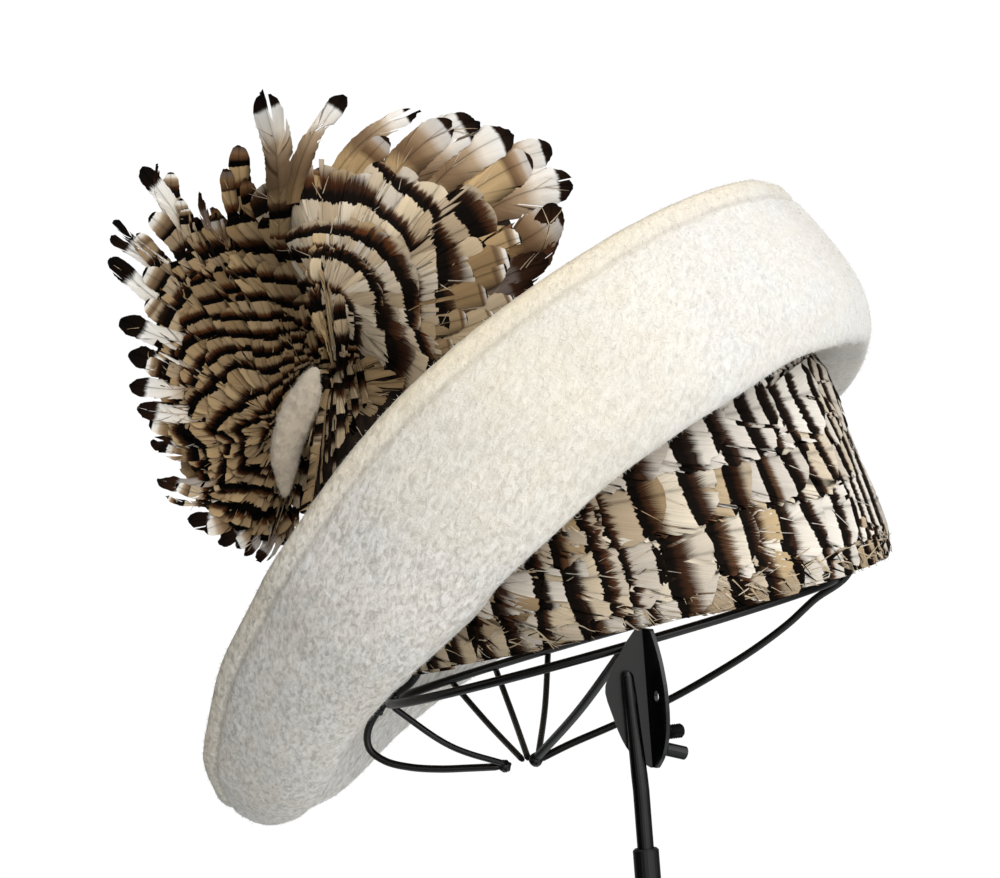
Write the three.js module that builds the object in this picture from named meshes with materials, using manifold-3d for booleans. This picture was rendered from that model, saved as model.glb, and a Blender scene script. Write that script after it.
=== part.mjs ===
// Feathered felt hat on a plain wire hat stand. Millimetres, +Z up.
// Origin: centre of the underside of the stand's round foot. The hat's front looks along -X,
// the wearer's left side looks along -Y.
import * as THREE from 'three';
import { mergeVertices } from 'three/addons/utils/BufferGeometryUtils.js';
import Module from 'manifold-3d';

const wasm = await Module();
wasm.setup();

// ---------------------------------------------------------------- driving dimensions
const HAT = { x: -8.5, y: 88, z: 260, tilt: 9 };          // centre of the head opening; front dips by tilt
const OPENING = { half_long: 104.5, half_wide: 87.8 };    // outside of the crown at the head opening
const CROWN = { wall: 3.6, top: 124 };
const FELT = { wall: 3, hem: 6.4, hem_width: 9 };
const GAP = 0.95;                                         // between neighbouring soft pieces
const WIRE = { ring: 3.8, arc: 3.2, rib: 2.7 };
const RING = { u: -14.6, v: -7.5, half_long: 97.5, half_wide: 78, rise: 0.047 };
const ROD = { d: 6.6, top: 245, bottom: 120, lean: 1.8 };
const SLEEVE = { d: 10.4, bore: 7.4, top: 175 };
const BRACKET = { x: 5, y: 6.3, z: 206, sheet: 1.6, fold: 2.4, right: -57, left: 196.7 };   // place, sizes, turns
const FOOT = { d: 200, h: 7, boss_d: 26, boss_h: 12 };
const FAN = { thick: 4.6, rim_thick: 2.6, pit: 5, u: -94.7, w: -50, v: 124.5, yaw: 11, lift: 1.67, roll: 4.5 };

// The crown's size at each height v, as a share of the head opening, feathers included.
const CROWN_ROWS = [
  { v: 0, scale: 1.0 }, { v: 5, scale: 1.026 }, { v: 14, scale: 1.034 }, { v: 28, scale: 1.018 }, { v: 42, scale: 0.99 },
  { v: 56, scale: 0.972 }, { v: 70, scale: 0.964 }, { v: 82, scale: 0.944 }, { v: 92, scale: 0.9 }, { v: 101, scale: 0.84 },
  { v: 109, scale: 0.75 }, { v: 115, scale: 0.64 }, { v: 119.5, scale: 0.5 }, { v: 122.5, scale: 0.33 }, { v: 123.8, scale: 0.15 },
];

// The brim's half section rows, front to back, in the hat's own directions:
// u front to back, w sideways from the middle, v up from the head opening.
// a is where the felt meets the crown, f the lower fold, r the rim. belly is how far the turned-up
// band bulges, drop how much lower the brim is on the wearer's right.
const BRIM_ROWS = [
  { turn: 0, a_v: 3, f_u: -169, f_w: 0, f_v: -51, r_u: -197, r_w: 0, r_v: -33, belly: 6, drop: 0 },
  { turn: 15, a_v: 3, f_u: -154, f_w: 27, f_v: -48, r_u: -193, r_w: 24, r_v: -17, belly: 7, drop: 0 },
  { turn: 27, a_v: 4, f_u: -139, f_w: 46, f_v: -38, r_u: -183, r_w: 39, r_v: -1, belly: 8, drop: 1 },
  { turn: 37, a_v: 5, f_u: -126, f_w: 62, f_v: -24, r_u: -166, r_w: 58, r_v: 21.5, belly: 8, drop: 5 },
  { turn: 50, a_v: 10, f_u: -103, f_w: 80, f_v: -8, r_u: -141.5, r_w: 80, r_v: 45, belly: 8, drop: 9 },
  { turn: 63, a_v: 20, f_u: -79, f_w: 93, f_v: 5, r_u: -118, r_w: 96, r_v: 65, belly: 8.5, drop: 12 },
  { turn: 79, a_v: 42, f_u: -34, f_w: 103, f_v: 31, r_u: -69.5, r_w: 111, r_v: 101.5, belly: 9, drop: 16 },
  { turn: 102, a_v: 65, f_u: 13, f_w: 102, f_v: 56, r_u: -20.5, r_w: 112, r_v: 129, belly: 9, drop: 20 },
  { turn: 123, a_v: 83, f_u: 56, f_w: 89, f_v: 75, r_u: 30.5, r_w: 99, r_v: 150, belly: 9, drop: 23 },
  { turn: 145, a_v: 95, f_u: 92, f_w: 62, f_v: 88, r_u: 69, r_w: 71, r_v: 162, belly: 9.5, drop: 21 },
  { turn: 163, a_v: 98, f_u: 110, f_w: 35, f_v: 91, r_u: 88, r_w: 39, r_v: 164, belly: 10, drop: 11 },
  { turn: 180, a_v: 96, f_u: 118, f_w: 0, f_v: 90, r_u: 95, r_w: 0, r_v: 161, belly: 10, drop: 0 },
];

// The feather fan, round its pit: turn in degrees from the hat's back, reach of its edge,
// and how far its middle and its edge stand towards the wearer's left.
const FAN_ROWS = [
  { turn: -98, reach: 60, middle: 14, edge: 31 },
  { turn: -80, reach: 51, middle: 14, edge: 29 },
  { turn: -60, reach: 46, middle: 14, edge: 28 },
  { turn: -40, reach: 45, middle: 14, edge: 27 },
  { turn: -20, reach: 47, middle: 14, edge: 26 },
  { turn: 0, reach: 54, middle: 15, edge: 25 },
  { turn: 16, reach: 68, middle: 17, edge: 23 },
  { turn: 25, reach: 90, middle: 20, edge: 16 },
  { turn: 32, reach: 110, middle: 21, edge: 9 },
  { turn: 41, reach: 122, middle: 22, edge: 4 },
  { turn: 52, reach: 124, middle: 24, edge: 1 },
  { turn: 64, reach: 117, middle: 26, edge: 0 },
  { turn: 78, reach: 107, middle: 27, edge: 2 },
  { turn: 90, reach: 101, middle: 27, edge: 5 },
  { turn: 99, reach: 97, middle: 25, edge: 4 },
  { turn: 107, reach: 94, middle: 9, edge: -6 },
  { turn: 118, reach: 92, middle: -12, edge: -14 },
  { turn: 133, reach: 98, middle: -24, edge: -17 },
  { turn: 150, reach: 98, middle: -31, edge: -21 },
  { turn: 165, reach: 89, middle: -34, edge: -25 },
  { turn: 180, reach: 80, middle: -34, edge: -27 },
  { turn: 195, reach: 77, middle: -32, edge: -27 },
  { turn: 210, reach: 79, middle: -29, edge: -26 },
  { turn: 225, reach: 81, middle: -26, edge: -24 },
  { turn: 238, reach: 80, middle: -23, edge: -22 },
  { turn: 245, reach: 79, middle: -21, edge: -20 },
  { turn: 248.5, reach: 54, middle: -19, edge: -18 },
  { turn: 256, reach: 54, middle: -12, edge: -12 },
];

// Middle line of the felt crescent in the fan's directions: x to the hat's back, y up, z to the wearer's left.
const CRESCENT_ROWS = [
  { x: -4.8, y: 5, z: 9, r: 1.5 },
  { x: -7.4, y: 0, z: 8, r: 4 },
  { x: -8.9, y: -5, z: 7, r: 5.9 },
  { x: -11, y: -10, z: 5.5, r: 6.9 },
  { x: -13.6, y: -15.8, z: 4, r: 6.9 },
  { x: -16, y: -21.5, z: 2.5, r: 6.9 },
  { x: -17.6, y: -27.5, z: 1, r: 6.2 },
  { x: -18.2, y: -33, z: 0, r: 5.5 },
  { x: -18.3, y: -38, z: -1, r: 4.3 },
  { x: -18.4, y: -43, z: -2, r: 2.8 },
  { x: -18.6, y: -47.5, z: -2, r: 1.3 },
];

// Wires of the stand's head form, in the hat's directions (u, w, v).
const FRONT_BACK_ROWS = [
  { u: -72, v: -49.2 }, { u: -86.3, v: -46.8 }, { u: -99, v: -44.5 }, { u: -111.5, v: -41 }, { u: -121.4, v: -36.2 },
  { u: -126.7, v: -30 }, { u: -126.3, v: -23.6 }, { u: -121.5, v: -16.8 }, { u: -113, v: -11 }, { u: -103, v: -6.5 },
  { u: -97.6, v: -1 }, { u: -95.5, v: 14 }, { u: -94, v: 42 }, { u: -88, v: 70 }, { u: -73, v: 96 }, { u: -45, v: 112.5 },
  { u: 0, v: 118 }, { u: 45, v: 112.5 }, { u: 73, v: 96 }, { u: 88, v: 70 }, { u: 94, v: 42 }, { u: 94.5, v: 14 },
  { u: 88, v: -2 }, { u: 72, v: -9.4 }, { u: 59.4, v: -16.6 }, { u: 43.6, v: -23.7 }, { u: 28, v: -29.3 },
  { u: 5, v: -36.3 }, { u: -21, v: -42 }, { u: -43, v: -46.2 }, { u: -58, v: -49.9 },
];
const RIB_ROWS = [
  { w: 50, u: -97.3, hub_u: -63, bow: 2 },
  { w: 66, u: -80, hub_u: -61, bow: 2 },
  { w: 76.5, u: -57, hub_u: -57, bow: 2 },
  { w: -26, u: -107.5, hub_u: -70, bow: 4 },
  { w: -76, u: 4, hub_u: -58, bow: 2 },
];


// Width of the bracket's two leaves at each height above its lower end.
const LEAF_ROWS = [
  { h: 0, left: 1.5, right: 3.5 }, { h: 5, left: 8, right: 10 }, { h: 12, left: 12, right: 14.6 }, { h: 21, left: 14.8, right: 17 },
  { h: 31, left: 17.2, right: 17 }, { h: 37, left: 15.6, right: 15.8 }, { h: 43, left: 12.4, right: 14 }, { h: 49, left: 8.4, right: 11.2 },
  { h: 55.2, left: 3.4, right: 7.4 },
];

// ---------------------------------------------------------------- helpers
const rad = (a) => (a * Math.PI) / 180;
const V3 = (x, y, z) => new THREE.Vector3(x, y, z);
const mix = (a, b, t) => a + (b - a) * t;

function material(hex, roughness, metalness) {
  return new THREE.MeshStandardMaterial({ color: hex, roughness, metalness });
}

function geometryOf(points, faces) {
  const g = new THREE.BufferGeometry();
  g.setAttribute('position', new THREE.Float32BufferAttribute(points.flatMap((p) => [p.x, p.y, p.z]), 3));
  g.setIndex(faces.flat());
  g.computeVertexNormals();
  return g;
}

// Value of one named column at a row number that may fall between rows.
function column(rows, name, t) {
  const i = Math.min(Math.floor(t), rows.length - 2);
  const f = t - i;
  const p = (k) => rows[Math.max(0, Math.min(rows.length - 1, k))][name];
  const [p0, p1, p2, p3] = [p(i - 1), p(i), p(i + 1), p(i + 2)];
  return 0.5 * (2 * p1 + (p2 - p0) * f + (2 * p0 - 5 * p1 + 4 * p2 - p3) * f * f + (3 * p1 - p0 - 3 * p2 + p3) * f * f * f);
}

// A wall from two grids of points that run round in closed rings: outside[j][i] and inside[j][i].
function ringWall(outside, inside) {
  const n = outside[0].length;
  const m = outside.length;
  const pts = [...outside.flat(), ...inside.flat()];
  const faces = [];
  const o = (j, i) => j * n + (i % n);
  const k = (j, i) => m * n + j * n + (i % n);
  for (let j = 0; j < m - 1; j++) {
    for (let i = 0; i < n; i++) {
      faces.push([o(j, i), o(j, i + 1), o(j + 1, i + 1)], [o(j, i), o(j + 1, i + 1), o(j + 1, i)]);
      faces.push([k(j, i), k(j + 1, i + 1), k(j, i + 1)], [k(j, i), k(j + 1, i), k(j + 1, i + 1)]);
    }
  }
  for (let i = 0; i < n; i++) {
    faces.push([o(0, i), k(0, i + 1), o(0, i + 1)], [o(0, i), k(0, i), k(0, i + 1)]);
    faces.push([o(m - 1, i), o(m - 1, i + 1), k(m - 1, i + 1)], [o(m - 1, i), k(m - 1, i + 1), k(m - 1, i)]);
  }
  return [pts, faces];
}

// Signed volume, to turn a body's faces outwards.
function outward(points, faces) {
  let vol = 0;
  for (const [a, b, c] of faces) vol += points[a].dot(V3(0, 0, 0).crossVectors(points[b], points[c]));
  return vol > 0 ? faces : faces.map(([a, b, c]) => [a, c, b]);
}

function solidMesh(name, points, faces, mat) {
  const mesh = new THREE.Mesh(geometryOf(points, outward(points, faces)), mat);
  mesh.name = name;
  return mesh;
}

function bodyOf(geometry) {
  const g = geometry.clone();
  g.deleteAttribute('normal');
  g.deleteAttribute('uv');
  const merged = mergeVertices(g, 1e-4);
  return new wasm.Manifold(new wasm.Mesh({
    numProp: 3,
    vertProperties: new Float32Array(merged.attributes.position.array),
    triVerts: new Uint32Array(merged.index.array),
  }));
}

function geometryFrom(body) {
  const m = body.getMesh();
  const g = new THREE.BufferGeometry();
  const p = new Float32Array(m.numVert * 3);
  for (let i = 0; i < m.numVert; i++) for (let c = 0; c < 3; c++) p[i * 3 + c] = m.vertProperties[i * m.numProp + c];
  g.setAttribute('position', new THREE.BufferAttribute(p, 3));
  g.setIndex(Array.from(m.triVerts));
  g.computeVertexNormals();
  return g;
}

function joined(geometries) {
  let all = bodyOf(geometries[0]);
  for (const g of geometries.slice(1)) all = all.add(bodyOf(g));
  return all;
}

function circle(d, sides) {
  const s = new THREE.Shape();
  for (let i = 0; i < sides; i++) {
    const a = (i / sides) * 2 * Math.PI;
    if (i) s.lineTo((d / 2) * Math.cos(a), (d / 2) * Math.sin(a));
    else s.moveTo((d / 2) * Math.cos(a), (d / 2) * Math.sin(a));
  }
  s.closePath();
  return s;
}

function wire(points, d, steps, closed = false) {
  const path = new THREE.CatmullRomCurve3(points, closed, 'centripetal');
  return new THREE.ExtrudeGeometry(circle(d, 8), { steps, bevelEnabled: false, extrudePath: path });
}

// ---------------------------------------------------------------- hat frame
const hat = new THREE.Group();
hat.rotation.y = -rad(HAT.tilt);
hat.position.set(HAT.x, HAT.y, HAT.z);

const feltMaterial = () => material(0xe2ded8, 0.95, 0);
const blackPaint = () => material(0x141416, 0.35, 0.1);

// ---------------------------------------------------------------- crown
// Oval wall with a rounded top; its scale is read from the table by height.
function crownScale(v) {
  const i = Math.max(0, CROWN_ROWS.findIndex((r) => r.v > v) - 1);
  const [p, q] = [CROWN_ROWS[i], CROWN_ROWS[i + 1]];
  return mix(p.scale, q.scale, Math.max(0, Math.min(1, (v - p.v) / (q.v - p.v))));
}

function crownMesh() {
  const around = 48;
  const ring = (v, s, inset, drop) => Array.from({ length: around }, (_, i) => {
    const a = (i / around) * 2 * Math.PI;
    const half_long = Math.max(1.5, OPENING.half_long * s - inset);
    const half_wide = Math.max(1.2, OPENING.half_wide * s - inset);
    return V3(-half_long * Math.cos(a), -half_wide * Math.sin(a), v - drop);
  });
  const outside = [];
  const inside = [];
  for (const { v, scale } of CROWN_ROWS) {
    const t = Math.max(0, (v - 80) / (CROWN.top - 80));
    outside.push(ring(v, scale, 0, 0));
    inside.push(ring(v, scale, CROWN.wall * (1 - 0.4 * t), CROWN.wall * t));
  }
  const n = around;
  const m = outside.length;
  const points = [...outside.flat(), ...inside.flat(), V3(0, 0, CROWN.top), V3(0, 0, CROWN.top - CROWN.wall)];
  const faces = [];
  const o = (j, i) => j * n + (i % n);
  const k = (j, i) => m * n + j * n + (i % n);
  for (let i = 0; i < n; i++) {
    for (let j = 0; j < m - 1; j++) {
      faces.push([o(j, i), o(j, i + 1), o(j + 1, i + 1)], [o(j, i), o(j + 1, i + 1), o(j + 1, i)]);
      faces.push([k(j, i), k(j + 1, i + 1), k(j, i + 1)], [k(j, i), k(j + 1, i), k(j + 1, i + 1)]);
    }
    faces.push([o(0, i), k(0, i + 1), o(0, i + 1)], [o(0, i), k(0, i), k(0, i + 1)]);
    faces.push([o(m - 1, i), o(m - 1, i + 1), 2 * m * n], [k(m - 1, i), 2 * m * n + 1, k(m - 1, i + 1)]);
  }
  return solidMesh('crown', points, faces, material(0xb59a78, 0.9, 0));
}
hat.add(crownMesh());

// ---------------------------------------------------------------- brim
// One section: from the crown out along the ledge, round the lower fold and up to the rim.
function brimSection(t) {
  const half = BRIM_ROWS.length - 1;
  const side = t <= half ? 1 : -1;                      // +1: wearer's left (negative w)
  const q = t <= half ? t : 2 * half - t;
  const c = (name) => column(BRIM_ROWS, name, q);
  const turn = rad(c('turn'));
  const drop = side < 0 ? c('drop') : 0;                // the wearer's right lies lower
  const a_v = c('a_v') - drop;
  const s = crownScale(a_v);
  const reach = 1 + GAP / OPENING.half_wide;
  const A = V3(-OPENING.half_long * s * reach * Math.cos(turn), -side * OPENING.half_wide * s * reach * Math.sin(turn), a_v);
  const F = V3(c('f_u'), -side * c('f_w'), c('f_v') - drop);
  const R = V3(c('r_u'), -side * c('r_w'), c('r_v') - 0.85 * drop);
  return { A, F, R, belly: c('belly'), side };
}

function brimMesh() {
  const around = 64;
  const along = 15;
  const half = BRIM_ROWS.length - 1;
  const sections = Array.from({ length: around }, (_, i) => brimSection((i / around) * 2 * half));
  const grid = sections.map((s, i) => {
    const before = sections[(i + around - 1) % around];
    const after = sections[(i + 1) % around];
    const run = V3(0, 0, 0).subVectors(after.F, before.F).normalize();
    const rise = V3(0, 0, 0).subVectors(s.R, s.F);
    const out = V3(0, 0, 0).crossVectors(rise, run).normalize();
    if (out.dot(V3(s.F.x + 20, s.F.y, -60)) < 0) out.negate();
    const ledge = V3(0, 0, 0).subVectors(s.F, s.A);
    const low = V3(0, 0, 0).addVectors(s.A, ledge.clone().multiplyScalar(0.62)).add(V3(0, 0, -1.2));
    const m1 = s.F.clone().addScaledVector(rise, 0.16).addScaledVector(out, s.belly * 0.74);
    const m2 = s.F.clone().addScaledVector(rise, 0.42).addScaledVector(out, s.belly);
    const m3 = s.F.clone().addScaledVector(rise, 0.74).addScaledVector(out, s.belly * 0.66);
    const line = new THREE.CatmullRomCurve3([s.A, low, s.F, m1, m2, m3, s.R], false, 'centripetal');
    const points = [];
    for (let j = 0; j <= along; j++) points.push(line.getPointAt(j / along));
    return points;
  });
  // normals of the outer face, by finite differences over the grid
  const normalAt = (i, j) => {
    const du = V3(0, 0, 0).subVectors(grid[(i + 1) % around][j], grid[(i + around - 1) % around][j]);
    const dv = V3(0, 0, 0).subVectors(grid[i][Math.min(along, j + 1)], grid[i][Math.max(0, j - 1)]);
    return V3(0, 0, 0).crossVectors(dv, du).normalize();
  };
  const outside = [];
  const inside = [];
  const rings = (j) => [grid.map((g, i) => g[j].clone()), grid.map((g, i) => g[j].clone())];
  const sign = normalAt(0, along - 2).dot(V3(-1, 0, -1)) > 0 ? 1 : -1;
  for (let j = 0; j <= along; j++) {
    const [o, k] = rings(j);
    for (let i = 0; i < around; i++) {
      const nrm = normalAt(i, j).multiplyScalar(sign);
      const back = grid[i][along].distanceTo(grid[i][j]);
      const hem = Math.max(0, 1 - Math.pow(Math.max(0, back - 1.5) / FELT.hem_width, 2));
      const thick = FELT.wall + (FELT.hem - FELT.wall) * hem * (j === along ? 0.35 : 1);
      o[i].addScaledVector(nrm, (thick - FELT.wall) * 0.3);
      k[i].addScaledVector(nrm, -FELT.wall - (thick - FELT.wall) * 0.7);
      if (j === along) {
        o[i].addScaledVector(nrm, -1.2);
      }
    }
    outside.push(o);
    inside.push(k);
  }
  const [points, faces] = ringWall(outside, inside);
  return solidMesh('felt_brim', points, faces, feltMaterial());
}
hat.add(brimMesh());

// ---------------------------------------------------------------- feather fan and felt crescent
// The fan's own directions: x to the hat's back, y up, z to the wearer's left.
function fanFrame() {
  const a = rad(FAN.yaw);
  const e = rad(FAN.lift);
  const r = rad(FAN.roll);
  const left = V3(Math.sin(a) * Math.cos(e), -Math.cos(a) * Math.cos(e), Math.sin(e));
  const along = V3(Math.cos(a), Math.sin(a), 0);
  const up = V3(0, 0, 0).crossVectors(left, along);
  const x = along.clone().multiplyScalar(Math.cos(r)).addScaledVector(up, -Math.sin(r));
  const y = along.clone().multiplyScalar(Math.sin(r)).addScaledVector(up, Math.cos(r));
  const basis = new THREE.Matrix4().makeBasis(x, y, left);
  const t = rad(HAT.tilt);
  const place = V3(
    HAT.x + FAN.u * Math.cos(t) - FAN.v * Math.sin(t),
    HAT.y + FAN.w,
    HAT.z + FAN.u * Math.sin(t) + FAN.v * Math.cos(t),
  );
  const g = new THREE.Group();
  g.quaternion.setFromRotationMatrix(basis);
  g.position.copy(place);
  return g;
}
const fan = fanFrame();

function fanPoint(t, s) {
  const turn = rad(column(FAN_ROWS, 'turn', t));
  const reach = column(FAN_ROWS, 'reach', t);
  const middle = column(FAN_ROWS, 'middle', t);
  const edge = column(FAN_ROWS, 'edge', t);
  const d = mix(FAN.pit, reach, s);
  const z = 4 * middle * s * (1 - s) + edge * s * (2 * s - 1);
  return V3(d * Math.cos(turn), d * Math.sin(turn), z);
}

function fanMesh() {
  const nt = 56;
  const ns = 9;
  const last = FAN_ROWS.length - 1;
  const front = [];
  const back = [];
  for (let i = 0; i <= nt; i++) {
    const t = (i / nt) * last;
    front.push([]);
    back.push([]);
    for (let j = 0; j <= ns; j++) {
      const s = j / ns;
      const p = fanPoint(t, s);
      const dt = fanPoint(Math.min(last, t + 0.2), s).sub(fanPoint(Math.max(0, t - 0.2), s));
      const ds = fanPoint(t, Math.min(1, s + 0.05)).sub(fanPoint(t, Math.max(0, s - 0.05)));
      const n = V3(0, 0, 0).crossVectors(ds, dt).normalize();
      const half = mix(FAN.thick, FAN.rim_thick, s) / 2;
      front[i].push(p.clone().addScaledVector(n, half));
      back[i].push(p.clone().addScaledVector(n, -half));
    }
  }
  const n = ns + 1;
  const points = [...front.flat(), ...back.flat()];
  const f = (i, j) => i * n + j;
  const b = (i, j) => (nt + 1) * n + i * n + j;
  const faces = [];
  for (let i = 0; i < nt; i++) {
    for (let j = 0; j < ns; j++) {
      faces.push([f(i, j), f(i, j + 1), f(i + 1, j + 1)], [f(i, j), f(i + 1, j + 1), f(i + 1, j)]);
      faces.push([b(i, j), b(i + 1, j + 1), b(i, j + 1)], [b(i, j), b(i + 1, j), b(i + 1, j + 1)]);
    }
    faces.push([f(i, 0), f(i + 1, 0), b(i + 1, 0)], [f(i, 0), b(i + 1, 0), b(i, 0)]);
    faces.push([f(i, ns), b(i + 1, ns), f(i + 1, ns)], [f(i, ns), b(i, ns), b(i + 1, ns)]);
  }
  for (let j = 0; j < ns; j++) {
    faces.push([f(0, j), b(0, j + 1), f(0, j + 1)], [f(0, j), b(0, j), b(0, j + 1)]);
    faces.push([f(nt, j), f(nt, j + 1), b(nt, j + 1)], [f(nt, j), b(nt, j + 1), b(nt, j)]);
  }
  return solidMesh('feather_fan', points, faces, material(0x8a6a48, 0.9, 0));
}
fan.add(fanMesh());

function crescentMesh() {
  const around = 12;
  const along = 20;
  const last = CRESCENT_ROWS.length - 1;
  const at = (t) => V3(column(CRESCENT_ROWS, 'x', t), column(CRESCENT_ROWS, 'y', t), column(CRESCENT_ROWS, 'z', t));
  const points = [];
  for (let i = 0; i <= along; i++) {
    const t = (i / along) * last;
    const run = at(Math.min(last, t + 0.1)).sub(at(Math.max(0, t - 0.1))).normalize();
    const side = V3(0, 0, 0).crossVectors(run, V3(0, 0, 1)).normalize();
    const face = V3(0, 0, 0).crossVectors(side, run).normalize();
    const r = column(CRESCENT_ROWS, 'r', t);
    for (let k = 0; k < around; k++) {
      const a = (k / around) * 2 * Math.PI;
      points.push(at(t).addScaledVector(side, r * Math.cos(a)).addScaledVector(face, 0.62 * r * Math.sin(a)));
    }
  }
  const ends = [points.length, points.length + 1];
  points.push(at(0), at(last));
  const p = (i, k) => i * around + (k % around);
  const faces = [];
  for (let k = 0; k < around; k++) {
    for (let i = 0; i < along; i++) faces.push([p(i, k), p(i, k + 1), p(i + 1, k + 1)], [p(i, k), p(i + 1, k + 1), p(i + 1, k)]);
    faces.push([p(0, k + 1), p(0, k), ends[0]], [p(along, k), p(along, k + 1), ends[1]]);
  }
  return solidMesh('felt_crescent', points, faces, feltMaterial());
}
fan.add(crescentMesh());

// ---------------------------------------------------------------- wire head form, one soldered solid
function wireForm() {
  const ringPoints = Array.from({ length: 40 }, (_, i) => {
    const a = (i / 40) * 2 * Math.PI;
    const u = RING.half_long * Math.cos(a);
    return V3(RING.u + u, RING.half_wide * Math.sin(a), RING.v + RING.rise * u);
  });
  const parts = [wire(ringPoints, WIRE.ring, 48, true)];
  parts.push(wire(FRONT_BACK_ROWS.map((r) => V3(r.u, 0, r.v)), WIRE.arc, 62));
  for (const r of RIB_ROWS) {
    const a = Math.asin(Math.max(-1, Math.min(1, r.w / RING.half_wide)));
    const end = V3(r.u, r.w, RING.v + RING.rise * (r.u - RING.u));
    const hub = V3(r.hub_u, 0, -49);
    const mid = end.clone().add(hub).multiplyScalar(0.5).add(V3(0, Math.sign(r.w) * r.bow, -r.bow));
    parts.push(wire([end, mid, hub], Math.abs(r.w) > 75.9 && r.w < 0 ? WIRE.ring : WIRE.rib, 4));
  }
  // cross arch, hidden in the crown
  const cross = [];
  for (let i = 0; i <= 16; i++) {
    const a = mix(-0.02, Math.PI + 0.02, i / 16);
    const c = Math.cos(a);
    const w = -Math.sign(c) * Math.pow(Math.abs(c), 0.8) * 77.5;
    cross.push(V3(12, w, Math.sin(a) < 0 ? RING.v + 1.2 : RING.v + 1.2 + (117.6 - RING.v - 1.2) * Math.pow(Math.sin(a), 0.8)));
  }
  parts.push(wire(cross, WIRE.rib, 28));
  // hub where the wires are soldered together, and its foremost joint
  const hub = new THREE.SphereGeometry(3.2, 12, 8);
  hub.translate(-58, 0, -49.4);
  const knot = new THREE.SphereGeometry(2.9, 12, 8);
  knot.translate(-71.5, 0, -49.2);
  parts.push(hub, knot);
  // two drops of solder where the front wire meets the ring
  for (const [u, v] of [[-119, -14.6], [-111.3, -10.4]]) {
    const drop = new THREE.SphereGeometry(2.6, 10, 6);
    drop.translate(u, 0, v);
    parts.push(drop);
  }
  const mesh = new THREE.Mesh(geometryFrom(joined(parts)), blackPaint());
  mesh.name = 'wire_form';
  return mesh;
}
hat.add(wireForm());

// ---------------------------------------------------------------- bracket, bolt, rod, sleeve and foot
const stand = new THREE.Group();

function bracket() {
  const leaf = (side) => {
    const edge = new THREE.SplineCurve(LEAF_ROWS.map((r) => new THREE.Vector2(r[side], r.h)));
    const s = new THREE.Shape([new THREE.Vector2(0, 0), ...edge.getPoints(20), new THREE.Vector2(0, LEAF_ROWS[LEAF_ROWS.length - 1].h)]);
    if (side === 'right') s.holes.push(new THREE.Path().absellipse(9, 28.7, 2.1, 2.4, 0, 2 * Math.PI, false, 0));
    const g = new THREE.ExtrudeGeometry(s, { depth: BRACKET.sheet, bevelEnabled: false, curveSegments: 8 });
    g.translate(0, 0, -BRACKET.sheet / 2);
    g.rotateX(Math.PI / 2);
    g.rotateZ(rad(BRACKET[side]));
    return g;
  };
  const height = LEAF_ROWS[LEAF_ROWS.length - 1].h;
  const fold = new THREE.CylinderGeometry(BRACKET.fold / 2, BRACKET.fold / 2, height, 12);
  fold.rotateX(Math.PI / 2);
  fold.translate(0, 0, height / 2);
  const parts = [leaf('right'), leaf('left'), fold];
  for (const g of parts) g.translate(BRACKET.x, BRACKET.y, BRACKET.z);
  const mesh = new THREE.Mesh(geometryFrom(joined(parts)), blackPaint());
  mesh.name = 'clamp_bracket';
  return mesh;
}
stand.add(bracket());

// A turned peg that stands square out of the right leaf's outer face; dip tilts it down.
function peg(name, profile, sides, width, height, clear, dip) {
  const g = new THREE.LatheGeometry(profile.map(([r, z]) => new THREE.Vector2(r, z)), sides);
  g.rotateZ(-Math.PI / 2 - rad(dip));
  g.rotateX(Math.PI / 2);
  g.rotateZ(rad(BRACKET.right + 90));
  const a = rad(BRACKET.right);
  const off = BRACKET.sheet / 2 + clear;
  g.translate(
    BRACKET.x + width * Math.cos(a) - off * Math.sin(a),
    BRACKET.y + width * Math.sin(a) + off * Math.cos(a),
    BRACKET.z + height,
  );
  const mesh = new THREE.Mesh(g, blackPaint());
  mesh.name = name;
  return mesh;
}
const thread = Array.from({ length: 7 }, (_, i) => [[2.55, 0.9 + i], [2.95, 1.4 + i]]).flat();
stand.add(peg('clamp_bolt', [[0, 0], [2.6, 0], ...thread, [2.2, 8.4], [0, 8.4]], 16, 8.4, 14.2, 0.35, 0));
stand.add(peg('clamp_nut', [[0, 0], [2.7, 0], [2.7, 8.6], [2.4, 8.9], [0, 8.9]], 16, 7.2, 7.6, 1.4, 18));

function turned(name, profile, sides, mat) {
  const g = new THREE.LatheGeometry(profile.map(([r, z]) => new THREE.Vector2(r, z)), sides);
  g.rotateX(Math.PI / 2);
  const mesh = new THREE.Mesh(g, mat);
  mesh.name = name;
  return mesh;
}

const rod = turned('stand_rod', [[0, ROD.bottom], [ROD.d / 2 - 0.6, ROD.bottom], [ROD.d / 2, ROD.bottom + 1], [ROD.d / 2, 172],
  [ROD.d / 2, 198], [ROD.d / 2, 204], [ROD.d / 2 - 0.2, 212], [ROD.d / 2 - 0.5, 222], [ROD.d / 2 - 0.7, 236], [ROD.d / 2 - 1.1, ROD.top - 1.4],
  [ROD.d / 2 - 2, ROD.top], [0, ROD.top]], 24, blackPaint());
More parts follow.
